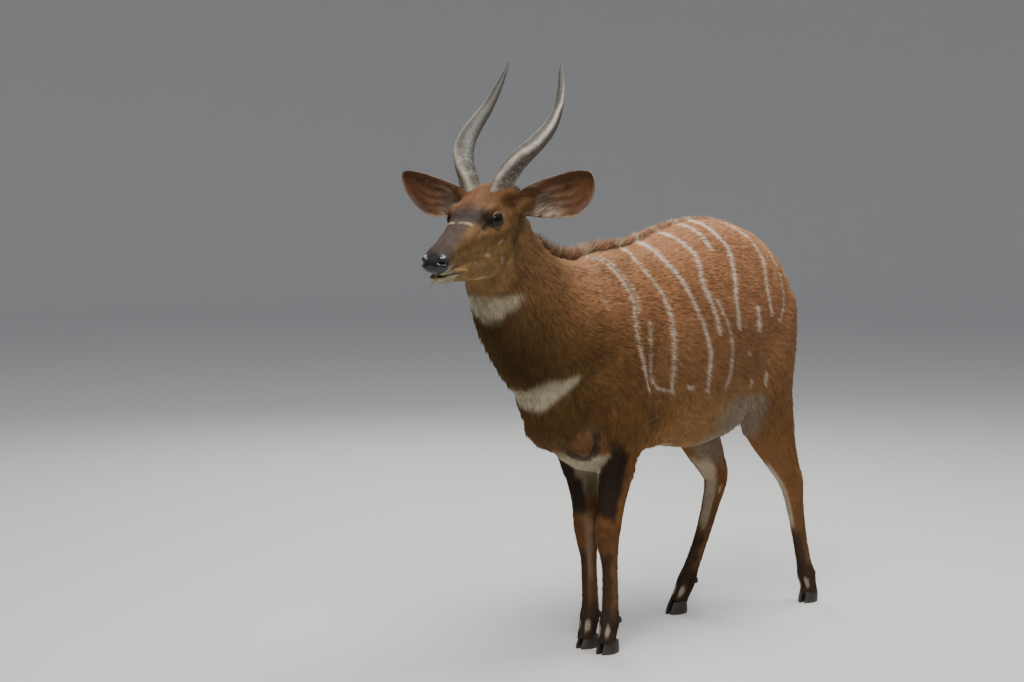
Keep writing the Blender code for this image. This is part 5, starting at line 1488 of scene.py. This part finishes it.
def buildEye(side, material):
    # a ball whose front carries the iris as rings of distance from its middle
    out, level, rise = eyeAxes(side)
    u = np.linspace(0.012, np.pi - 0.012, eyeBall["rings"])[:, None]
    v = np.linspace(0, 2 * np.pi, eyeBall["around"], endpoint=False)[None]
    bulge = 1.0 + eyeBall["bulge"] * np.exp(-(u / 0.55) ** 2)
    ball = skull["eyeRadius"] * 0.992 * bulge
    local = np.stack([np.cos(u) + 0 * v, np.sin(u) * np.cos(v), np.sin(u) * np.sin(v)], -1) * ball[..., None]
    p, faces = closedTube(inHead(skull["eye"], side) + local @ np.array([out, level, rise]))
    item = newPiece("eye" + ("Left" if side > 0 else "Right"), p + stand["move"], faces)
    outward(item)
    item.data.shade_smooth()
    q = np.vstack([local.reshape(-1, 3), local[0].mean(0), local[-1].mean(0)])
    wide, tall = np.abs(q[:, 1]), np.abs(q[:, 2])
    pupil = step(1.15, 0.85, np.sqrt((wide / eyeBall["pupil"][0]) ** 2 + (tall / eyeBall["pupil"][1]) ** 2))
    r = np.hypot(wide, tall)
    fibres = lattice(np.stack([np.arctan2(q[:, 2], q[:, 1]) * 0.02, r * 0.3, 0 * r], 1), 0.002, 23)
    c = np.tile(np.array(eyeBall["iris"]), (len(q), 1)) * (0.6 + 0.8 * fibres)[:, None]
    c = mixIn(c, eyeBall["pupilTone"], pupil)
    c = mixIn(c, eyeBall["white"], step(0.0125, 0.0145, r) + (q[:, 0] < 0.008))
    pointColour(item, "eyeTone", np.clip(c, 0.001, 0.5))
    item.data.materials.append(material)
    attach(item, stand["body"])
    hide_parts("eye_left" if side > 0 else "eye_right")


# Hooves and dewclaws
hoof = {"length": 0.070, "width": 0.024, "height": 0.036, "spread": 0.0152,
        "feet": (("fore_left", 0.043, -0.064, 0.06), ("fore_right", -0.040, -0.046, -0.04),
                 ("hind_left", 0.116, 0.858, 0.10), ("hind_right", -0.100, 0.464, -0.05))}


def clawShape(centre, side, heading):
    # a wedge with a flat sole and a rounded toe: section(h, a) = ahead cos a (L/2) size(h) + across sin a (W/2) taper
    forward = np.array([math.sin(heading), -math.cos(heading), 0.0])
    across = np.array([math.cos(heading), math.sin(heading), 0.0])
    h = np.array([0.0, 0.03, 0.08, 0.16, 0.30, 0.45, 0.60, 0.75, 0.88, 0.97, 1.02])
    size = np.interp(h, [0, 0.03, 0.10, 0.28, 0.66, 1.0, 1.02], [0.955, 0.985, 1.0, 0.97, 0.86, 0.72, 0.60])
    shift = np.interp(h, [0, 0.28, 0.66, 1.0], [0.0, -0.002, -0.005, -0.009])
    a = np.linspace(0, 2 * np.pi, 56, endpoint=False)
    front = np.maximum(0.0, np.cos(a)) ** 2
    size, shift, h = size[:, None], shift[:, None], h[:, None]
    wrinkle = 1.0 + 0.010 * np.sin(40 * h) * step(0.10, 0.3, h)
    long = np.cos(a) * hoof["length"] / 2 * size * wrinkle + shift
    wide = (np.sin(a) * hoof["width"] / 2 * (0.90 + 0.10 * size) * (1.0 - 0.42 * front)
            * np.minimum(1.0, size + 0.12) * wrinkle - side * 0.007 * front)
    rings = centre + forward * long[..., None] + across * wide[..., None]
    rings = rings + np.array([0, 0, 1.0]) * (np.minimum(h, 1.0) * hoof["height"] + 0 * long)[..., None]
    return closedTube(rings)


def buildHooves(material):
    for label, x, y, heading in hoof["feet"]:
        across = np.array([math.cos(heading), math.sin(heading), 0.0])
        for side, half in ((1, "left"), (-1, "right")):
            shapes = [clawShape(np.array([x, y, 0.0]) + across * side * hoof["spread"], side, heading)]
            item = newPiece("claw_%s_%s" % (label, half), *together(shapes))
            item.data.vertices.foreach_set("co", (pointsOf(item.data) + stand["move"]).ravel())
            finishHorny(item, material)
            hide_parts("hoof_%s_%s" % (label, half))
        # the pair of small claws behind the fetlock
        name = label.replace("_l", "L").replace("_r", "R")
        lx, ly, _, ld = (v[0] for v in legAt(name, np.array([0.096])))
        pair = []
        for side in (1, -1):
            place = np.array([lx + side * 0.0115, ly + ld * 0.93, 0.088])
            turn = np.array([unit(np.array([0.0, 0.45, -1.0])), [1.0, 0, 0], unit(np.array([0.0, 1.0, 0.45]))])
            pair.append(egg(place, (0.0120, 0.0075, 0.0070), turn, 12, 16))
        item = newPiece("dewclaws_" + label, *together(pair))
        item.data.vertices.foreach_set("co", (pointsOf(item.data) + stand["move"]).ravel())
        finishHorny(item, material)


def finishHorny(item, material):
    outward(item)
    item.data.shade_smooth()
    item.data.set_sharp_from_angle(angle=math.radians(50))
    p = pointsOf(item.data)
    z = p[:, 2]
    noise = lattice(p, 0.005, 29)
    c = np.tile(np.array([0.026, 0.021, 0.018]), (len(p), 1)) * (0.6 + 0.8 * noise)[:, None]
    c = mixIn(c, (0.075, 0.062, 0.050), step(0.010, 0.002, z) * 0.5)
    pointColour(item, "hoofTone", np.clip(c, 0.002, 0.5))
    item.data.materials.append(material)
    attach(item, stand["body"])


# Long hair: crest, tail tuft, lashes
def addLocks(name, root, way, out, length, width, colours, material, droop, replaced=()):
    # a curved blade of five rings with a raised middle: centre(t) = root + way t L + out droop t^2 L
    count = len(root)
    t = np.array([-0.15, 0.25, 0.55, 0.80, 1.0])
    taper = np.array([0.9, 1.0, 0.72, 0.42, 0.04])
    across = unit(np.cross(way, out))
    centre = (root[:, None] + way[:, None] * (t[None] * length[:, None])[..., None]
              + out[:, None] * (droop[:, None] * t[None] ** 2 * length[:, None])[..., None])
    half = across[:, None] * (width[:, None] * taper[None] / 2)[..., None]
    lift = out[:, None] * (width[:, None] * taper[None] * 0.28)[..., None]
    points = np.stack([centre - half, centre + lift, centre + half], 2).reshape(count, 15, 3)
    quads = []
    for k in range(4):
        a = 3 * k
        quads += [[a, a + 3, a + 4, a + 1], [a + 1, a + 4, a + 5, a + 2]]
    quads = np.array(quads)[None] + (np.arange(count) * 15)[:, None, None]
    mesh = bpy.data.meshes.new(name)
    mesh.from_pydata((points + stand["move"]).reshape(-1, 3).tolist(), [], quads.reshape(-1, 4).tolist())
    layer = mesh.uv_layers.new(name="OFBake")
    order = np.empty(len(mesh.loops), np.int32)
    mesh.loops.foreach_get("vertex_index", order)
    k = np.arange(count)
    side = int(math.ceil(math.sqrt(count)))
    middle = np.stack([(k % side + 0.5) / side, (k // side + 0.5) / side], 1) * 0.98 + 0.01
    spot = np.stack([np.tile([-0.4, 0.0, 0.4], 5), np.repeat(np.linspace(-0.5, 0.5, 5), 3)], 1) * coat["patch"]
    corners = (middle[:, None] + spot[None]).reshape(-1, 2)
    layer.data.foreach_set("uv", corners[order].astype(np.float32).ravel())
    item = bpy.data.objects.new(name, mesh)
    bpy.context.scene.collection.objects.link(item)
    mesh.shade_smooth()
    # painted shade at the root end and a painted highlight towards the tip
    rootShadeTipLight = np.repeat(np.array([0.6, 0.85, 1.0, 1.1, 1.2]), 3)
    shades = np.repeat(colours[:, None], 15, 1) * rootShadeTipLight[None, :, None]
    pointColour(item, "hair", np.clip(shades, 0.001, 0.98).reshape(-1, 3))
    mesh.materials.append(material)
    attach(item, stand["body"])
    if replaced:
        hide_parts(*replaced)
    return item


crest = {"start": -0.350, "end": 0.560, "count": 4400, "front": 0.046, "rear": 0.021,
         "width": (0.0011, 0.0021), "seed": 61}


def buildCrest(p, n, material):
    # upright hair along the ridge: longest over the withers, short and flat by the loins
    rng = np.random.default_rng(crest["seed"])
    count = crest["count"]
    t = rng.random(count) ** 1.25
    y = crest["start"] + (crest["end"] - crest["start"]) * t
    x = rng.normal(0, 0.0060, count) + 0.002
    top = ridgeHeight(p, n, x, y)
    root = np.stack([x, y, top - 0.003], 1)
    length = ((crest["front"] + (crest["rear"] - crest["front"]) * step(0.15, 0.85, t))
              * rng.uniform(0.55, 1.15, count) * step(-0.05, 0.04, t))
    upright = 1.25 - 0.60 * step(0.25, 0.9, t)
    way = unit(np.stack([0.35 * x / 0.012 + rng.normal(0, 0.18, count), 0.55 + rng.normal(0, 0.16, count),
                         upright], 1))
    out = unit(np.cross(way, np.cross(np.tile([0.0, 0, 1.0], (count, 1)), way)))
    tone, _ = paint(np.stack([x + 0.03, y, top], 1), np.tile([0.0, 0, 1.0], (count, 1)))
    dark = rng.random(count) < 0.18
    tone = np.where(dark[:, None], np.array([0.045, 0.028, 0.018]), tone * 1.05 + 0.02)
    flecks = np.zeros(count)
    for line, _, strength in stripes[1:]:
        flecks = np.maximum(flecks, step(0.014, 0.006, np.abs(y - line[0][1])
                                         + 0.004 * rng.normal(0, 1, count)) * strength * (line[0][0] < 0.05))
    tone = mixIn(tone, "white", flecks * (rng.random(count) < 0.50)) * rng.uniform(0.75, 1.25, count)[:, None]
    width = rng.uniform(*crest["width"], count)
    addLocks("crest", root, way, out, length, width, tone, material, rng.normal(-0.05, 0.12, count))


def ridgeHeight(p, n, x, y):
    # height of the skin under given places near the middle of the back, from its corners there
    near = (np.abs(p[:, 0]) < 0.045) & (n[:, 2] > 0.5) & (p[:, 1] > -0.42) & (p[:, 1] < 0.7) & (p[:, 2] > 0.95)
    q = p[near]
    order = np.argsort(q[:, 1])
    q = q[order]
    bins = np.linspace(-0.40, 0.68, 70)
    which = np.digitize(q[:, 1], bins)
    middle, high = [], []
    for k in range(1, len(bins)):
        m = (which == k) & (np.abs(q[:, 0]) < 0.014)
        if m.any():
            middle.append(q[m, 1].mean())
            high.append(q[m, 2].mean())
    return np.interp(y, middle, high) - 2.2 * x ** 2


tailTuft = {"count": 1500, "length": (0.055, 0.100), "width": (0.0022, 0.0036), "lowest": 0.645,
            "tone": (0.030, 0.020, 0.014), "seed": 71}


def buildTailTuft(material):
    # locks that start on the last two fifths of the tail's line and spread a little as they hang
    rng = np.random.default_rng(tailTuft["seed"])
    count = tailTuft["count"]
    line = curveThrough(np.array(body["tail"])[:, :3], 80)
    k = (46 + rng.random(count) ** 0.8 * 33).astype(int)
    angle = rng.random(count) * 2 * np.pi
    out = np.stack([np.cos(angle), np.sin(angle), 0 * angle], 1)
    root = line[k] + out * 0.005
    way = unit(np.stack([0 * angle, 0 * angle, -np.ones(count)], 1)
               + out * rng.uniform(0.02, 0.20, count)[:, None])
    length = rng.uniform(*tailTuft["length"], count)
    low = root[:, 2] - length * 0.95
    length = np.where(low < tailTuft["lowest"], (root[:, 2] - tailTuft["lowest"]) / 0.95, length)
    tone = np.tile(np.array(tailTuft["tone"]), (count, 1))
    tone = (mixIn(tone, "chestnut", (rng.random(count) < 0.25) * step(46, 60, 106 - k))
            * rng.uniform(0.6, 1.4, count)[:, None])
    addLocks("tailTuft", root, way, out, length, rng.uniform(*tailTuft["width"], count), tone, material,
             rng.normal(-0.08, 0.10, count))


lashes = {"each": 60, "length": (0.006, 0.010), "width": 0.0007, "tone": (0.01, 0.008, 0.007), "curl": -0.25,
          "seed": 81}


def buildLashes(material):
    # upper lashes: short dark hairs that leave the rim of the opening and curl up
    rng = np.random.default_rng(lashes["seed"])
    each = lashes["each"]
    roots, ways, outs = [], [], []
    for side in (1, -1):
        out, level, rise = eyeAxes(side)
        a = np.linspace(0.28 * np.pi, 0.86 * np.pi, each) + rng.normal(0, 0.02, each)
        u = np.cos(a) * lids["halfLength"] * 1.02
        v = np.sin(a) ** 0.95 * lids["upper"] * 1.02 + 0.10 * u
        r = skull["eyeRadius"] + 0.0014
        d = np.sqrt(np.maximum(r * r - u * u - v * v, 1e-6))
        roots.append(inHead(skull["eye"], side) + level * u[:, None] + rise * v[:, None] + out * d[:, None])
        ways.append(unit(out * 1.0 + rise * 0.25 + level * (np.cos(a)[:, None] * 0.5)
                         + rng.normal(0, 0.08, (each, 3))))
        outs.append(np.tile(-rise, (each, 1)))
    root, way, out = np.vstack(roots), np.vstack(ways), np.vstack(outs)
    count = len(root)
    addLocks("lashes", root, way, out, rng.uniform(*lashes["length"], count), np.full(count, lashes["width"]),
             np.tile(lashes["tone"], (count, 1)), material, np.full(count, lashes["curl"]))


whiskers = {"count": 56, "length": (0.014, 0.026), "width": 0.00045, "tone": (0.05, 0.04, 0.035), "curl": 0.15,
            "seed": 91}


def buildWhiskers(material):
    # fine hairs from the upper lip and the chin, left and right in turn
    rng = np.random.default_rng(whiskers["seed"])
    count = whiskers["count"]
    a = rng.uniform(0.345, 0.392, count)
    side = np.where(np.arange(count) % 2 == 0, 1.0, -1.0)
    low = rng.random(count) < 0.5
    d = np.where(low, rng.uniform(-0.066, -0.052, count), rng.uniform(-0.034, -0.018, count))
    b = np.where(low, 0.018, 0.030) * (1.0 - 0.5 * step(0.37, 0.395, a))
    root = head["origin"] + np.stack([a, b * side, d], 1) @ headAxes
    way = unit(np.stack([0.25 + rng.normal(0, 0.15, count), side * 0.8, -0.35 - 0.5 * low
                         + rng.normal(0, 0.15, count)], 1)) @ headAxes
    out = unit(np.cross(way, ahead))
    addLocks("whiskers", root, way, out, rng.uniform(*whiskers["length"], count),
             np.full(count, whiskers["width"]), np.tile(whiskers["tone"], (count, 1)), material,
             np.full(count, whiskers["curl"]))


# Put together
def buildAll():
    print("skin")
    skin = buildSkin()
    p = pointsOf(skin.data)
    f = trianglesOf(skin.data)
    keep = (p - neckTop["at"]) @ neckTop["way"] > -0.02
    thinGroup = skin.vertex_groups.new(name="thin")
    thinGroup.add(np.nonzero(~keep)[0].tolist(), 1.0, "REPLACE")
    thin = skin.modifiers.new("thin", "DECIMATE")
    thin.ratio = (keep[f].all(1).sum() + body["bodyTriangles"]) / len(f)
    thin.vertex_group = thinGroup.name
    settle(skin)
    skin.vertex_groups.clear()
    print("face", len(skin.data.polygons))
    refineFace(skin)
    p, f = carveSkin(skin)
    n = pointNormals(p, f)
    print("markings", len(f))
    tone, wet = paint(p, n)
    # painted shade under the hair: the skin darker wherever the coat covers it
    pointColour(skin, "hide", np.clip(tone * (0.86 + 0.14 * bareAt(p))[:, None], 0.002, 0.95))
    pointColour(skin, "wet", np.repeat(wet[:, None], 3, 1))
    hide = skinMaterial()
    skin.data.materials.append(hide)
    skin.data.shade_smooth()
    hair = coatMaterial()
    print("coat")
    growCoat(p, f, n, hair, stand["seed"])
    print("crest and tail")
    buildCrest(p, n, hair)
    buildTailTuft(hair)
    buildLashes(hair)
    buildWhiskers(hair)
    skin.data.vertices.foreach_set("co", (p + stand["move"]).ravel())
    skin.data.update()
    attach(skin, stand["body"])
    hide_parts("head", "neck", "torso", "tail", "leg_fore_left", "leg_fore_right", "leg_hind_left",
                "leg_hind_right")
    print("ears, horns, eyes and hooves")
    hornSkin = ridgedMaterial("agedHorn")
    wetEye = eyeMaterial()
    for side in (1, -1):
        buildEar(side, hide, hair)
        buildHorn(side, hornSkin)
        buildEye(side, wetEye)
    buildHooves(ridgedMaterial("hoofHorn"))


# Floor, light and camera
studio = {"floor": (0.62, 0.61, 0.59, 1), "flat": 13.0, "bend": 5.0, "around": 96,
          "sky": (0.86, 0.90, 1.0, 1), "skyStrength": 0.38,
          # name, place, size, power, tint
          "lights": (("key", (1.6, -2.6, 4.6), 2.2, 235.0, (1.0, 0.975, 0.94)),
                     ("top", (0.6, 1.2, 5.0), 3.2, 240.0, (0.96, 0.98, 1.0)),
                     ("rim", (-3.2, 2.6, 3.0), 2.0, 70.0, (1.0, 0.98, 0.95))),
          "aim": (0.0, 0.1, 0.75), "lens": 69.12, "eye": (3.2411, -4.3168, 1.300), "turn": 40.0, "dip": 4.77}


def buildStudio():
    # a pale dish of a floor, a soft key from the upper left, a broad top light and a weak rim
    floorMaterial = newMaterial("paleFloor", **{"Base Color": studio["floor"], "Roughness": 0.85})[0]
    # flat to its edge, then a quarter turn up to an upright wall
    flat, bend, around = studio["flat"], studio["bend"], studio["around"]
    arc = np.linspace(0, np.pi / 2, 12)
    far = np.concatenate([[0.02, 2.0, 5.0, 9.0], flat + bend * np.sin(arc), [flat + bend]])
    high = np.concatenate([[0, 0, 0, 0], bend * (1 - np.cos(arc)), [9.0]])
    a = np.linspace(0, 2 * np.pi, around, endpoint=False)
    points = np.stack([far[:, None] * np.cos(a), far[:, None] * np.sin(a), high[:, None] + 0 * a], -1)
    i, j = np.meshgrid(np.arange(len(far) - 1), np.arange(around), indexing="ij")
    k = (j + 1) % around
    quads = np.stack([i * around + j, (i + 1) * around + j, (i + 1) * around + k, i * around + k], -1)
    quads = quads.reshape(-1, 4)
    rim = np.arange(around)
    caps = np.stack([rim, (rim + 1) % around, np.full(around, len(far) * around)], 1)
    floor = newPiece("floor", np.vstack([points.reshape(-1, 3), [[0, 0, 0]]]), quads.tolist() + caps.tolist())
    floor.data.shade_smooth()
    floor.data.materials.append(floorMaterial)
    world = bpy.data.worlds.new("softRoom")
    world.use_nodes = True
    world.node_tree.nodes["Background"].inputs["Color"].default_value = studio["sky"]
    world.node_tree.nodes["Background"].inputs["Strength"].default_value = studio["skyStrength"]
    bpy.context.scene.world = world
    for name, place, size, power, tint in studio["lights"]:
        data = bpy.data.lights.new(name, "AREA")
        data.energy, data.size, data.color = power, size, tint
        lamp = bpy.data.objects.new(name, data)
        lamp.location = place
        lamp.rotation_euler = (Vector(studio["aim"]) - Vector(place)).to_track_quat("-Z", "Y").to_euler()
        bpy.context.scene.collection.objects.link(lamp)
    lens = bpy.data.cameras.new("camera")
    lens.lens = studio["lens"]
    lens.sensor_width = 36.0
    camera = bpy.data.objects.new("camera", lens)
    camera.location = studio["eye"]
    camera.rotation_euler = (math.radians(90.0 - studio["dip"]), 0.0, math.radians(studio["turn"]))
    bpy.context.scene.collection.objects.link(camera)
    bpy.context.scene.camera = camera


buildAll()
buildStudio()
print("done")
